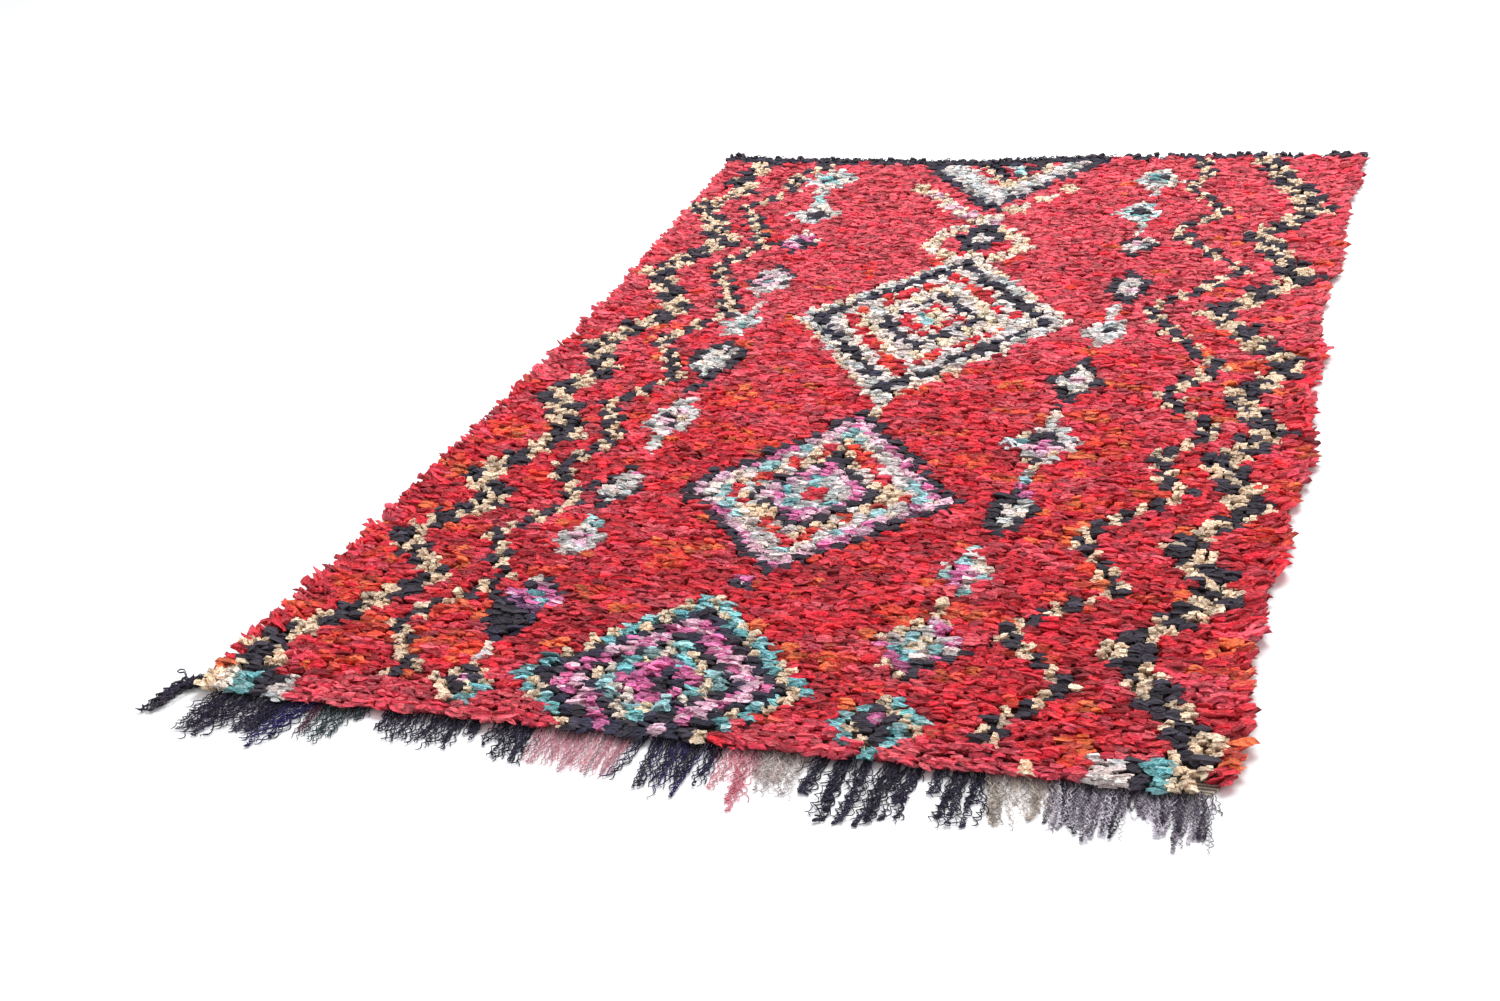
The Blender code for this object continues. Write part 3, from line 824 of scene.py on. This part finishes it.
# %% Build the tuft tree
def tuft_tree():
    tree, given, result = new_tree("tie tufts", {
        "Tufts": "Collection", "Turn": "Float", "Lean": "Float", "Roll": "Float", "Size": "Float",
        "Play": "Float", "Cells": "Float", "Seed": "Int", "Finish": "Material",
    })
    give = given.outputs
    pick = add_node(tree, "FunctionNodeRandomValue", {"Seed": give["Seed"]}, data_type="INT")
    pick.inputs[5].default_value = 1000  # the number wraps round the shelf
    less, down, back = (
        work_out(tree, "MULTIPLY", give[name], -1.0) for name in ("Turn", "Lean", "Roll")
    )
    low = add_node(tree, "ShaderNodeCombineXYZ", {"X": down, "Y": back, "Z": less})
    high = add_node(
        tree, "ShaderNodeCombineXYZ", {"X": give["Lean"], "Y": give["Roll"], "Z": give["Turn"]},
    )
    play = add_node(
        tree, "FunctionNodeRandomValue",
        {0: low.outputs[0], 1: high.outputs[0], "Seed": give["Seed"]}, data_type="FLOAT_VECTOR",
    )
    aim = add_node(tree, "ShaderNodeCombineXYZ", {"Z": attribute(tree, "yaw")})
    turned = combine(tree, "ADD", play.outputs[0], aim.outputs[0])
    rotation = add_node(tree, "FunctionNodeEulerToRotation", {0: turned})
    small, big = (work_out(tree, sign, give["Size"], give["Play"]) for sign in ("SUBTRACT", "ADD"))
    size = add_node(
        tree, "FunctionNodeRandomValue", {2: small, 3: big, "Seed": give["Seed"]}, data_type="FLOAT",
    )
    scale = work_out(tree, "MULTIPLY", size.outputs[1], attribute(tree, "size"))
    tufts = add_node(
        tree, "GeometryNodeCollectionInfo",
        {"Collection": give["Tufts"], "Separate Children": True, "Reset Children": True},
    )
    tied = add_node(
        tree, "GeometryNodeInstanceOnPoints",
        {"Points": give["Geometry"], "Instance": tufts.outputs[0], "Pick Instance": True,
         "Instance Index": pick.outputs[2], "Rotation": rotation.outputs[0], "Scale": scale},
    )
    real = add_node(tree, "GeometryNodeRealizeInstances", {"Geometry": tied.outputs[0]})
    cell, lie = (attribute(tree, name, "FLOAT_VECTOR") for name in ("cell", "lie"))
    inset = combine(tree, "MULTIPLY_ADD", lie, (0.8, 0.8, 0.0), cell)
    shift = combine(tree, "ADD", inset, (0.1, 0.1, 0.0))
    share = work_out(tree, "DIVIDE", 1.0, give["Cells"])
    flat = add_node(tree, "ShaderNodeVectorMath", {0: shift, "Scale": share}, operation="SCALE")
    stored = add_node(
        tree, "GeometryNodeStoreNamedAttribute",
        {"Geometry": real.outputs[0], "Name": "OFBake", "Value": flat.outputs[0]},
        data_type="FLOAT2", domain="CORNER",
    )
    return end_tree(tree, given, result, stored.outputs[0])


TUFT_TREE = tuft_tree()
print("nodes in the tuft tree:", len(TUFT_TREE.nodes))

# %% [markdown]
# ## Tufts for every knot
#
# A rag knot opens into eight flakes, a jersey roll into five and a wool knot into nine small ones.
# A `Fan` says how they spread, in millimetres: to each side, from the back of the knot to its front,
# and how far they drop on the way. Its `shade` is how dark and how light a single flake may be.
# The first row hangs over the near edge. Tufts of the two outermost columns hang lower and turn
# outward, which gives the sides their ragged outline, and none goes below the floor. A knot also
# holds some flakes of its yarn's partner, a neighbouring shade: torn cloth is never of one colour.

# %% Turn the knots into tuft points
Tuft = namedtuple("Tuft", "point yaw size tint")
Fan = namedtuple("Fan", "count across deep drop shade")
FANS = {
    "rag": Fan(8, 5.5, 12.5, 3.0, (0.48, 1.48)),
    "roll": Fan(5, 3.0, 10.5, 3.0, (0.6, 1.5)),
    "wool": Fan(9, 6.8, 11.0, 3.2, (0.58, 1.36)),
}
ROOT_HEIGHT, LOWEST = 2.5, -2.0  # of a tuft's own zero, which lies some 6 mm below its foot
WEAR_AND_HIGHLIGHT_PINK = (0.80, 0.48, 0.46)
PARTNER = {
    "orange": "flame", "flame": "scarlet", "scarlet": "rose red", "crimson": "scarlet",
    "rose red": "coral", "coral": "rose red", "wine red": "crimson", "orchid": "petal",
    "teal": "aqua", "white": "ice",
}


def tinted(yarn, rng):
    """A yarn's colour for one knot: a little lighter, darker, warmer or cooler."""
    value = rng.uniform(0.86, 1.14)
    warm = rng.uniform(0.96, 1.04)
    red, green, blue = linear(YARNS[yarn].screen)
    return (red * value * warm, green * value, blue * value / warm)


def yaw_at(knot, rng):
    """Which way a knot's tufts hang: 0 is towards the near end, and more turns them outward."""
    inside = min(knot.column, COLUMNS - 1 - knot.column)
    side = -1 if knot.column < COLUMNS / 2 else 1
    if inside == 0:
        return side * rng.uniform(0.2, 1.2)
    if inside == 1:
        return side * rng.uniform(0.0, 0.5)
    return 0.0


def tufts_of(knots, form):
    rng = random.Random(8)
    made = []
    fan = FANS[form]
    for knot in knots:
        if YARNS[knot.yarn].form != form:
            continue
        if knot.x > 624 and knot.along < 26:  # the near right corner is worn down to the ground
            continue
        colours = [tinted(knot.yarn, rng)] * 3 + [tinted(PARTNER.get(knot.yarn, knot.yarn), rng)]
        over = 0.9 if knot.row == 0 else 0.0  # the first row hangs over the near edge
        rim = (5.0, 2.0, 0.0)[min(knot.column, COLUMNS - 1 - knot.column, 2)]
        for end in range(fan.count + (4 if knot.row == 0 else 0)):
            aside, ahead = rng.uniform(-1, 1), (end + rng.random()) / fan.count
            x = knot.x + aside * fan.across * (1 + rim / 10)
            along = knot.along + (0.5 - ahead) * fan.deep
            z = ROOT_HEIGHT - 3.0 * over - 2.0 * aside**2
            z -= (fan.drop + 2.0 * over) * ahead + rim * rng.random()
            paling = (0.08 if form == "rag" else 0.0) * rng.random()  # some flakes turn pale pink: partly worn cotton, partly a painted highlight
            colour = [c + (pale - c) * paling for c, pale in zip(rng.choice(colours), WEAR_AND_HIGHLIGHT_PINK)]
            value = min(rng.uniform(*fan.shade), 1.0 / max(colour))
            tint = (*[c * value for c in colour], 1.0)
            z += rng.uniform(-1.2, 1.2) if knot.row < ROWS else rng.uniform(-4, 5)
            size = rng.uniform(0.85, 1.15) * (1 + 0.3 * (rim > 0) * rng.random())
            spot = place(x, along, max(z, LOWEST))
            made.append(Tuft(spot, yaw_at(knot, rng), size, tint))
    return made


def tie(name, tufts, form, seed):
    """One piece of pile: its tufts as points, run through the tuft tree."""
    across = math.ceil(math.sqrt(len(tufts)))
    mesh = bpy.data.meshes.new(name + "_points")
    mesh.from_pydata([tuft.point for tuft in tufts], [], [])
    put(mesh, "yaw", "FLOAT", [tuft.yaw for tuft in tufts])
    put(mesh, "size", "FLOAT", [tuft.size for tuft in tufts])
    put(mesh, "tint", "FLOAT_COLOR", [tuft.tint for tuft in tufts])
    cells = [(n % across, n // across, 0) for n in range(len(tufts))]
    put(mesh, "cell", "FLOAT_VECTOR", cells)
    piece = bake_tree(name, mesh, TUFT_TREE, {
        "Tufts": SHELVES[form], "Turn": 0.20, "Lean": 0.30, "Roll": 0.17, "Size": 1.0, "Play": 0.12,
        "Cells": float(across), "Seed": seed, "Finish": FINISH[form],
    })
    print(name, len(tufts), "tufts,", triangles(piece), "triangles")
    return piece


def side_strips(tufts, count):
    """The tufts in strips of equal number from the left side of the rug to the right."""
    order = sorted(tufts, key=lambda tuft: tuft.point.x)
    return [order[n * len(order) // count : (n + 1) * len(order) // count] for n in range(count)]


rags = tufts_of(knots, "rag")
pile = [
    tie(f"pile_rags_{n + 1}", strip, "rag", 40 + n)
    for n, strip in enumerate(side_strips(rags, 4))
]
pile.append(tie("pile_wool", tufts_of(knots, "wool"), "wool", 51))
pile.append(tie("pile_jersey", tufts_of(knots, "roll"), "roll", 52))

# %% [markdown]
# ## The woven ground
#
# Under the pile lies a thin cloth of warp and weft, which holds the knots. It shows at the edges
# and on the back, where each knot's yarn appears as a small bar between rows of plain weave. It
# is a closed sheet three millimetres thick, with a point beside every knot that takes its colour.
# All of its colours are painted darker, as the shade it lies in under the pile.
# The sheet ends a few millimetres inside the pile's sides and near edge, and its sides and the
# worn near right corner are pale, as bare warps are.

# %% Weave the ground
GROUND_TOP, GROUND_FOOT = 3.2, 0.3
SIDE_INSET, NEAR_INSET = 4.0, 7.0


def weave_ground():
    across, along_count = COLUMNS + 1, ROWS + 1
    points, faces, tints = [], [], []
    by_place = {(knot.row, knot.column): knot for knot in knots}
    for z in (GROUND_TOP, GROUND_FOOT):
        for j in range(along_count):
            for i in range(across):
                x, along = on_rug(i / COLUMNS, j / ROWS)
                inward = SIDE_INSET * ((i == 0) - (i == COLUMNS))
                points.append(place(x + inward, max(along, NEAR_INSET), z))
                knot = by_place[min(j, ROWS - 1), min(i, COLUMNS - 1)]
                bare = i in (0, COLUMNS) or knot.x > 590 and knot.along < 60
                tints.append((*linear(YARNS["cream" if bare else knot.yarn].screen), 1.0))
    lower = across * along_count
    for j in range(ROWS):
        for i in range(COLUMNS):
            a = j * across + i
            top = (a, a + 1, a + 1 + across, a + across)
            faces += [top, [lower + corner for corner in reversed(top)]]
    rim = []
    for near in range(COLUMNS):
        far = ROWS * across + near
        rim += [(near, near + 1), (far + 1, far)]
    for j in range(ROWS):
        left, right = j * across, j * across + COLUMNS
        rim += [(left + across, left), (right, right + across)]
    faces += [(a, lower + a, lower + b, b) for a, b in rim]
    mesh = bpy.data.meshes.new("ground")
    mesh.from_pydata(points, [], faces)
    put(mesh, "tint", "FLOAT_COLOR", tints)
    return set_out("ground", mesh)


def weave_finish():
    """Warp and weft as bumps, the knots' colours in bars between rows of weave, all painted darker as
    shade.
    """
    material, tree, shader = new_material("woven ground", {"Roughness": 0.95})
    where = add_node(tree, "ShaderNodeTexCoord").outputs["Object"]
    tint = add_node(tree, "ShaderNodeAttribute", attribute_name="tint").outputs["Color"]
    weft, warp = (
        add_node(
            tree, "ShaderNodeTexWave", {"Vector": where, "Scale": scale, "Distortion": bend},
            bands_direction=across,
        ).outputs["Fac"]
        for scale, bend, across in ((50.0, 1.2, "Y"), (84.0, 0.8, "X"))
    )
    wool = add_node(tree, "ShaderNodeTexNoise", {"Vector": where, "Scale": 300.0})
    plain = blend(tree, wool.outputs["Fac"], (0.16, 0.11, 0.085, 1), (0.42, 0.33, 0.26, 1))
    mix = blend(tree, stretch(tree, weft, 0.35, 0.6), plain, tint)
    # painted shade: the whole ground is darkened to 0.6, as the shade it lies in under the pile
    deep = add_node(tree, "ShaderNodeHueSaturation", {"Color": mix, "Value": 0.6})
    tree.links.new(deep.outputs["Color"], shader.inputs["Base Color"])
    height = work_out(tree, "MAXIMUM", weft, warp)
    bump = add_node(tree, "ShaderNodeBump", {"Height": height, "Strength": 0.7, "Distance": 0.0015})
    tree.links.new(bump.outputs["Normal"], shader.inputs["Normal"])
    return material


ground = weave_ground()
ground.data.materials.append(weave_finish())
print("ground faces:", len(ground.data.polygons))

# %% [markdown]
# ## The fringe, chart
#
# The warp yarns that hang out at the near end were never knotted. Each stretch is a set of bundles,
# and a bundle has a root on the rug's edge, a tip, a length and a width, as in the solids. A `Spin`
# says how the yarns of a stretch look: their colours, the gap from one to the next, how thick they
# are, how far they swing from side to side and the length of one wave. `opens` is the share of the
# length that stays nearly straight, `layers` the height of the heap, `spread` how much wider than the
# bundle the yarns lie, `loops` the share of them that turn back, and `flare` how far they part
# towards their tips. Lengths are in millimetres.

# %% Chart the fringe
Bundle = namedtuple("Bundle", "root tip length width")
Spin = namedtuple("Spin", "colours gap thick swing pitch opens layers spread loops flare")


def bundles(*numbers):
    return [Bundle(*numbers[n : n + 4]) for n in range(0, len(numbers), 4)]


INK, NIGHT = (50, 43, 64), (46, 38, 98)
FRINGE = {
    "fringe_black_left": (
        bundles(-604, -624, 92, 14, -579, -596, 107, 28, -542, -556, 80, 27, -513, -533, 76, 20),
        Spin((INK, (34, 30, 44), (58, 50, 70)), 1.9, 1.65, 4.8, 15.0, 0.05, 5.0, 1.6, 0.35, 0.0),
    ),
    "fringe_navy_left": (
        bundles(-484, -514, 104, 27),
        Spin((NIGHT, (46, 42, 92), (34, 30, 56)), 1.9, 1.6, 4.6, 16.0, 0.1, 4.5, 1.7, 0.3, 0.1),
    ),
    "fringe_wine": (
        bundles(-461, -458, 82, 14),
        Spin(((84, 34, 50), (56, 34, 46), (76, 42, 60)), 1.7, 1.2, 3.4, 12.0, 0.1, 4.0, 1.5, 0.2, 0.0),
    ),
    "fringe_green": (
        bundles(-434, -430, 88, 28, -402, -399, 28, 14),
        Spin(
            ((42, 62, 66), (52, 52, 66), (38, 42, 48), (92, 116, 112)),
            1.8, 1.2, 3.6, 12.5, 0.1, 4.5, 1.4, 0.25, 0.0,
        ),
    ),
    "fringe_black_middle": (
        bundles(
            -359, -359, 44, 14, -338, -332, 72, 14, -313, -307, 65, 14, -289, -292, 76, 14,
            -266, -264, 68, 14, -244, -243, 40, 14, -209, -209, 47, 14, -188, -187, 82, 14,
            -169, -164, 86, 14,
        ),
        Spin((INK, (44, 42, 62), (38, 34, 50)), 1.9, 1.6, 3.6, 14.0, 0.15, 5.0, 1.6, 0.25, 0.2),
    ),
    "fringe_rose": (
        bundles(
            -149, -146, 78, 20, -125, -122, 80, 20, -100, -97, 87, 20, -76, -73, 87, 20,
            -53, -52, 97, 20,
        ),
        Spin(
            ((214, 152, 162), (228, 180, 184), (196, 122, 138), (180, 140, 152)),
            1.4, 0.95, 1.8, 11.0, 0.1, 4.5, 1.4, 0.25, -0.2,
        ),
    ),
    "fringe_navy_middle": (
        bundles(-24, -40, 98, 7, 0, 8, 100, 21, 22, 24, 116, 14, 43, 46, 106, 21, 66, 70, 82, 14),
        Spin(
            (NIGHT, (36, 30, 68), (34, 28, 48), (56, 48, 62)),
            1.7, 1.35, 3.0, 17.0, 0.2, 4.5, 1.4, 0.2, 0.0,
        ),
    ),
    "fringe_pink": (
        bundles(86, 90, 84, 14, 107, 122, 124, 21),
        Spin(
            ((222, 142, 156), (208, 122, 136), (214, 166, 172)),
            1.9, 1.1, 4.4, 17.0, 0.1, 4.5, 1.4, 0.4, 0.2,
        ),
    ),
    "fringe_grey_beige": (
        bundles(133, 150, 78, 21, 159, 165, 92, 21),
        Spin(
            ((176, 164, 158), (150, 138, 138), (200, 182, 176)),
            1.7, 0.95, 3.8, 11.0, 0.05, 5.0, 1.7, 0.5, 0.3,
        ),
    ),
    "fringe_black_right": (
        bundles(
            200, 188, 76, 14, 227, 224, 123, 21, 252, 250, 120, 14, 279, 266, 120, 21,
            305, 298, 112, 21, 334, 341, 58, 14, 357, 358, 104, 21, 380, 391, 100, 14,
        ),
        Spin((INK, (44, 41, 58), (36, 32, 46)), 1.9, 1.5, 4.8, 15.0, 0.3, 5.5, 1.0, 0.5, 0.9),
    ),
    "fringe_sand": (
        bundles(409, 428, 96, 28, 442, 458, 74, 21),
        Spin(
            ((186, 172, 160), (206, 190, 176), (158, 146, 140)),
            1.7, 0.95, 4.2, 12.0, 0.05, 6.0, 1.7, 0.55, 0.0,
        ),
    ),
    "fringe_grey": (
        bundles(
            481, 492, 92, 28, 510, 519, 103, 21, 535, 540, 94, 21, 560, 572, 52, 21,
            584, 594, 84, 21, 606, 608, 104, 14, 624, 634, 98, 14,
        ),
        Spin(
            ((104, 94, 108), (60, 52, 68), (216, 208, 218), (150, 140, 152)),
            1.25, 1.05, 3.3, 8.0, 0.0, 5.0, 1.6, 0.75, 0.1,
        ),
    ),
}
print("fringe bundles:", sum(len(entry[0]) for entry in FRINGE.values()))

# %% [markdown]
# ## The fringe, yarns
#
# Yarn that has been unpicked from a weave keeps its crimp: it runs in small waves, and where the
# waves are wide they fold back into loops, so a bundle looks like a net. A yarn's path is a line
# of points between two and three millimetres apart. The Geometry Nodes tree makes each line of
# points a curve, and sweeps a small ring along it with the yarn's own thickness. Every yarn starts
# inside the pile's foot. The lowest ones lie on the floor and the others on top of them.

# %% Spin the yarns of the fringe
Path = namedtuple("Path", "points thick tint")


def smooth_step(value):
    value = min(max(value, 0.0), 1.0)
    return value * value * (3 - 2 * value)


def warp_yarn(bundle, spin, share, stop, rng):
    """One crimped yarn of a bundle, from under the pile to its tip, in millimetres."""
    long = bundle.length * stop * (1 - 0.35 * (1 - spin.loops) * abs(share - 0.5))
    aside = (share - 0.5) * bundle.width * spin.spread
    phase, layer = rng.uniform(0, math.tau), rng.random()
    pitch = spin.pitch * rng.uniform(0.8, 1.25)
    stray = Vector((rng.uniform(-50, 50), rng.uniform(-50, 50), 0))
    steps = max(6, int(long / 2.5))
    points = []
    for step in range(steps + 1):
        t = step / steps
        free = 0.14 + 0.86 * smooth_step((t - spin.opens) / 0.3)
        angle = phase + math.tau * long * t / pitch
        drift = noise.noise(stray + Vector((t * long / 34, 0, 0))) * spin.swing * 1.9 * free
        x = bundle.root + (bundle.tip - bundle.root) * t**1.3 + aside * (1 + spin.flare * (t - 0.35))
        x += spin.swing * free * math.sin(angle) * (0.75 + 0.25 * math.sin(angle * 0.37)) + drift
        back = 0.5 * spin.swing * free * math.cos(angle + 0.6)
        along = 5.0 - (long + 5.0) * t + back * smooth_step(t * 5)
        z = spin.thick / 2 + 0.2 + layer * spin.layers * (1 - 0.4 * t) + 3.0 * (1 - t) ** 6
        z += 0.5 * math.sin(angle * 1.7 + phase) * min(1.0, layer * 2)
        points.append((x, along, max(z, spin.thick / 2 + 0.1)))
    return points


def weft_loop(bundle, spin, stop, rng):
    """A yarn that leaves the pile, turns near the bundle's tip and comes back, in millimetres."""
    long, half = bundle.length * stop, bundle.width * spin.spread / 2
    start, end = (bundle.root + rng.uniform(-1, 1) * half for _ in range(2))
    turn = bundle.tip + rng.uniform(-1, 1) * half * (1 + spin.flare)
    phase, layer = rng.uniform(0, math.tau), rng.random()
    pitch = spin.pitch * rng.uniform(0.8, 1.25)
    steps = max(10, int(2 * long / 2.6))
    points = []
    for step in range(steps + 1):
        t = step / steps
        out = math.sin(math.pi * t) ** 0.6
        angle = phase + math.tau * 2 * long * t / pitch
        x = start + (end - start) * t
        x += (turn - x) * 0.4 * out + 0.7 * spin.swing * math.sin(angle)
        along = 4.0 - (long + 4.0) * out + 0.6 * spin.swing * math.cos(angle * 0.83)
        z = spin.thick / 2 + 0.2 + layer * spin.layers * (1 - 0.4 * out) + 0.5 * math.sin(angle * 1.7)
        points.append((x, min(along, 6.0), max(z, spin.thick / 2 + 0.1)))
    return points


def spin_bundle(bundle, spin, rng):
    """A bundle's long yarns and loops, and half as many short broken ones that fill its root."""
    long, short = max(4, round(bundle.width * 1.35 / spin.gap)), round(bundle.width * 0.8 / spin.gap)
    made = []
    for number in range(long + short):
        share = (number % long + rng.uniform(0.1, 0.9)) / long
        if number >= long:
            share = rng.uniform(-0.15, 1.15)
        stop = rng.uniform(0.70, 1.0) if number < long else rng.uniform(0.2, 0.5)
        tint = shaded(rng.choice(spin.colours), rng)
        if number < long and rng.random() < spin.loops:
            if number % 3 == 2:  # a loop is two strands long, so there are fewer of them
                continue
            points = weft_loop(bundle, spin, rng.uniform(0.45, 0.97), rng)
        else:
            points = warp_yarn(bundle, spin, share, stop, rng)
        made.append(Path(points, spin.thick * rng.uniform(0.8, 1.2), tint))
    return made


def shaded(screen, rng):
    """A yarn's light values, a little lighter or darker than its colour in the chart."""
    value = rng.uniform(0.8, 1.25)
    return (*[min(c * value, 0.9) for c in linear(screen)], 1.0)


def yarn_tree():
    """Sweeps a ring along every line of points, as thick as the points say."""
    tree, given, result = new_tree("spin yarns", {"Corners": "Int", "Finish": "Material"})
    give = given.outputs
    curve = add_node(tree, "GeometryNodeMeshToCurve", {"Mesh": give["Geometry"]})
    ring = add_node(
        tree, "GeometryNodeCurvePrimitiveCircle", {"Resolution": give["Corners"], "Radius": 1.0},
    )
    tube = add_node(
        tree, "GeometryNodeCurveToMesh",
        {"Curve": curve.outputs[0], "Profile Curve": ring.outputs["Curve"],
         "Scale": attribute(tree, "thick"), "Fill Caps": True},
    )
    real = add_node(tree, "GeometryNodeRealizeInstances", {"Geometry": tube.outputs[0]})
    return end_tree(tree, given, result, real.outputs[0])


YARN_TREE = yarn_tree()


def spin(name, paths, corners, finish):
    """One piece of yarns from their paths."""
    points, edges, thick, reach, tint = [], [], [], [], []
    for path in paths:
        last = len(path.points) - 1
        for step, (x, along, z) in enumerate(path.points):
            if step:
                edges.append((len(points) - 1, len(points)))
            points.append(place(x, along, z))
            thick.append(path.thick / 2 * MM * (1.0 if step < last else 0.45))
            # painted shade: the first fifth of a yarn, where it leaves the pile, gets a low reach and so
            # a darker colour
            reach.append(0.35 + 0.65 * min(1.0, 5 * step / last))
            tint.append(path.tint)
    mesh = bpy.data.meshes.new(name + "_paths")
    mesh.from_pydata(points, edges, [])
    put(mesh, "thick", "FLOAT", thick)
    put(mesh, "reach", "FLOAT", reach)
    put(mesh, "tint", "FLOAT_COLOR", tint)
    piece = bake_tree(name, mesh, YARN_TREE, {"Corners": corners, "Finish": finish})
    piece.data.shade_smooth()
    print(name, len(paths), "yarns,", triangles(piece), "triangles")
    return piece


FINISH["warp"] = cloth("warp yarn", 0.9, 0.05, 900.0, 0.7, 0.0, 1.0)
fringe = {}
for number, (node, (stretch, way)) in enumerate(FRINGE.items()):
    rng = random.Random(100 + number)
    paths = [path for bundle in stretch for path in spin_bundle(bundle, way, rng)]
    fringe[node] = spin(node + "_yarns", paths, 3, FINISH["warp"])

# %% [markdown]
# ## The tassel at the near left corner
#
# Here the warps leave the rug sideways, are gathered, and turn down in a hook. They are thick
# plied yarns, strongly crimped, and they fray towards the tip. Most follow much the same route as
# the solid, every fourth one turns down earlier, and two thin ones stand out as a loop. Routes are
# in millimetres from where the tassel leaves the rug.

# %% Gather the tassel
ROUTE = (
    (7, 0), (0, -3), (-12, -8), (-22, -12), (-30, -21), (-34, -36), (-36, -54), (-38, -70), (-42, -82),
)
DROP = ((7, 0), (0, -3), (-10, -8), (-18, -15), (-23, -30), (-26, -48), (-31, -66), (-32, -78))
LOOP = (
    (-8, -7), (-16, -8), (-24, -4), (-30, 3), (-35, 9), (-41, 15), (-47, 15), (-48, 9), (-43, 6),
    (-37, 9), (-30, 1), (-22, -7),
)


def read_route(route, at):
    """A point on a route and the way it runs there, at a share of its length."""
    at = min(max(at, 0.0), 0.9999) * (len(route) - 1)
    first = int(at)
    a, b = Vector((*route[first], 0)), Vector((*route[first + 1], 0))
    return a.lerp(b, at - first), (b - a).normalized()


def tassel_paths():
    rng = random.Random(77)
    start_x = (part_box("tassel")[1].x - centre_line) / MM - 7
    start_along = 23.0
    made = []
    for number in range(30):
        aside, layer = rng.uniform(-12, 12), rng.random()
        stop, phase = rng.uniform(0.6, 1.0), rng.uniform(0, math.tau)
        stray = Vector((rng.uniform(-50, 50), rng.uniform(-50, 50), 0))
        points = []
        for step in range(57):
            t = stop * step / 56
            middle, way = read_route(DROP if number % 4 == 3 else ROUTE, t)
            angle = phase + t * 62
            fray = 11.0 * t * noise.noise(stray + Vector((t * 2.6, 0, 0)))
            off = aside * (1 - 0.35 * t) + fray + 3.2 * math.sin(angle) * smooth_step(t * 4)
            spot = middle + Vector((way.y, -way.x, 0)) * off + way * 1.5 * math.cos(angle)
            high = 1.4 + layer * 11 * (1 - 0.6 * t) + 0.8 * math.sin(angle * 1.3)
            points.append((start_x + spot.x, start_along + spot.y, max(high, 1.1)))
        thick = rng.uniform(1.3, 2.1)
        made.append(Path(points, thick, shaded(rng.choice((INK, (30, 28, 36), (58, 52, 62))), rng)))
    for thick, shift in ((1.3, 0.0), (1.1, 1.6)):
        points = [(start_x + x + shift, start_along + y - shift, 9.0 - 0.06 * y) for x, y in LOOP]
        made.append(Path(points, thick, shaded(INK, rng)))
    return made


tassel = spin("tassel_yarns", tassel_paths(), 4, FINISH["warp"])

# %% [markdown]
# ## The dark ends at the far side
#
# Behind the dark selvedge the cut ends of the warps stand out past the pile as thin curly wisps,
# long and close on the left half and sparse on the right. How high and how far they reach, and how
# close they stand, is listed by place and read between the rows of the list.

# %% Set the wisps of the far edging
Wisp = namedtuple("Wisp", "x height reach close")
EDGING = (
    Wisp(-660, 20, 22, 1.0), Wisp(-480, 18, 14, 0.9), Wisp(-100, 20, 20, 1.0),
    Wisp(120, 20, 20, 0.9), Wisp(250, 14, 10, 0.5), Wisp(660, 14, 8, 0.45),
)


def wisp_paths():
    rng = random.Random(63)
    spots = [wisp.x for wisp in EDGING]
    made = []
    x = -642.0
    while x < 646:
        high, far, close = (float(np.interp(x, spots, column)) for column in list(zip(*EDGING))[1:])
        for _ in range(rng.choice((2, 3))):
            start = x + rng.uniform(-4, 4)
            edge = LENGTH + read_edge(FAR_EDGE, start)
            out, up = far * rng.uniform(0.2, 1.0), high * rng.uniform(0.6, 1.25)
            side, phase = rng.uniform(-16, 16), rng.uniform(0, math.tau)
            points = []
            for step in range(9):
                t = step / 8
                sway = 2.6 * math.sin(phase + 9 * t) * t
                high_up = 3.0 + (up - 3) * math.sin(t * 2.3) + 1.5 * math.sin(phase + 11 * t) * t
                points.append((start + side * t + sway, edge - 8 + (out + 8) * t**1.3, high_up))
            thick = rng.uniform(1.6, 2.8)
            made.append(Path(points, thick, shaded(rng.choice((INK, (46, 42, 52), (30, 30, 40))), rng)))
        x += rng.uniform(3.6, 5.8) / close
    return made


edging = spin("far_edging_wisps", wisp_paths(), 3, FINISH["warp"])

# %% [markdown]
# ## Attaching the pieces
#
# Every piece rides on the one body of the rug and stands for the solid it was made over, which
# is hidden. The ground and the pieces of pile together stand for the pile's solid, a cloth woven
# flat that lies on the floor.

# %% Attach the pieces and hide the solids
dressing = [(ground, "pile"), *[(piece, "pile") for piece in pile]]
dressing += [(tassel, "tassel"), (edging, "far_edging")]
dressing += [(piece, node) for node, piece in fringe.items()]
for piece, node in dressing:
    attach(piece, "root")
    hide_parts(node)
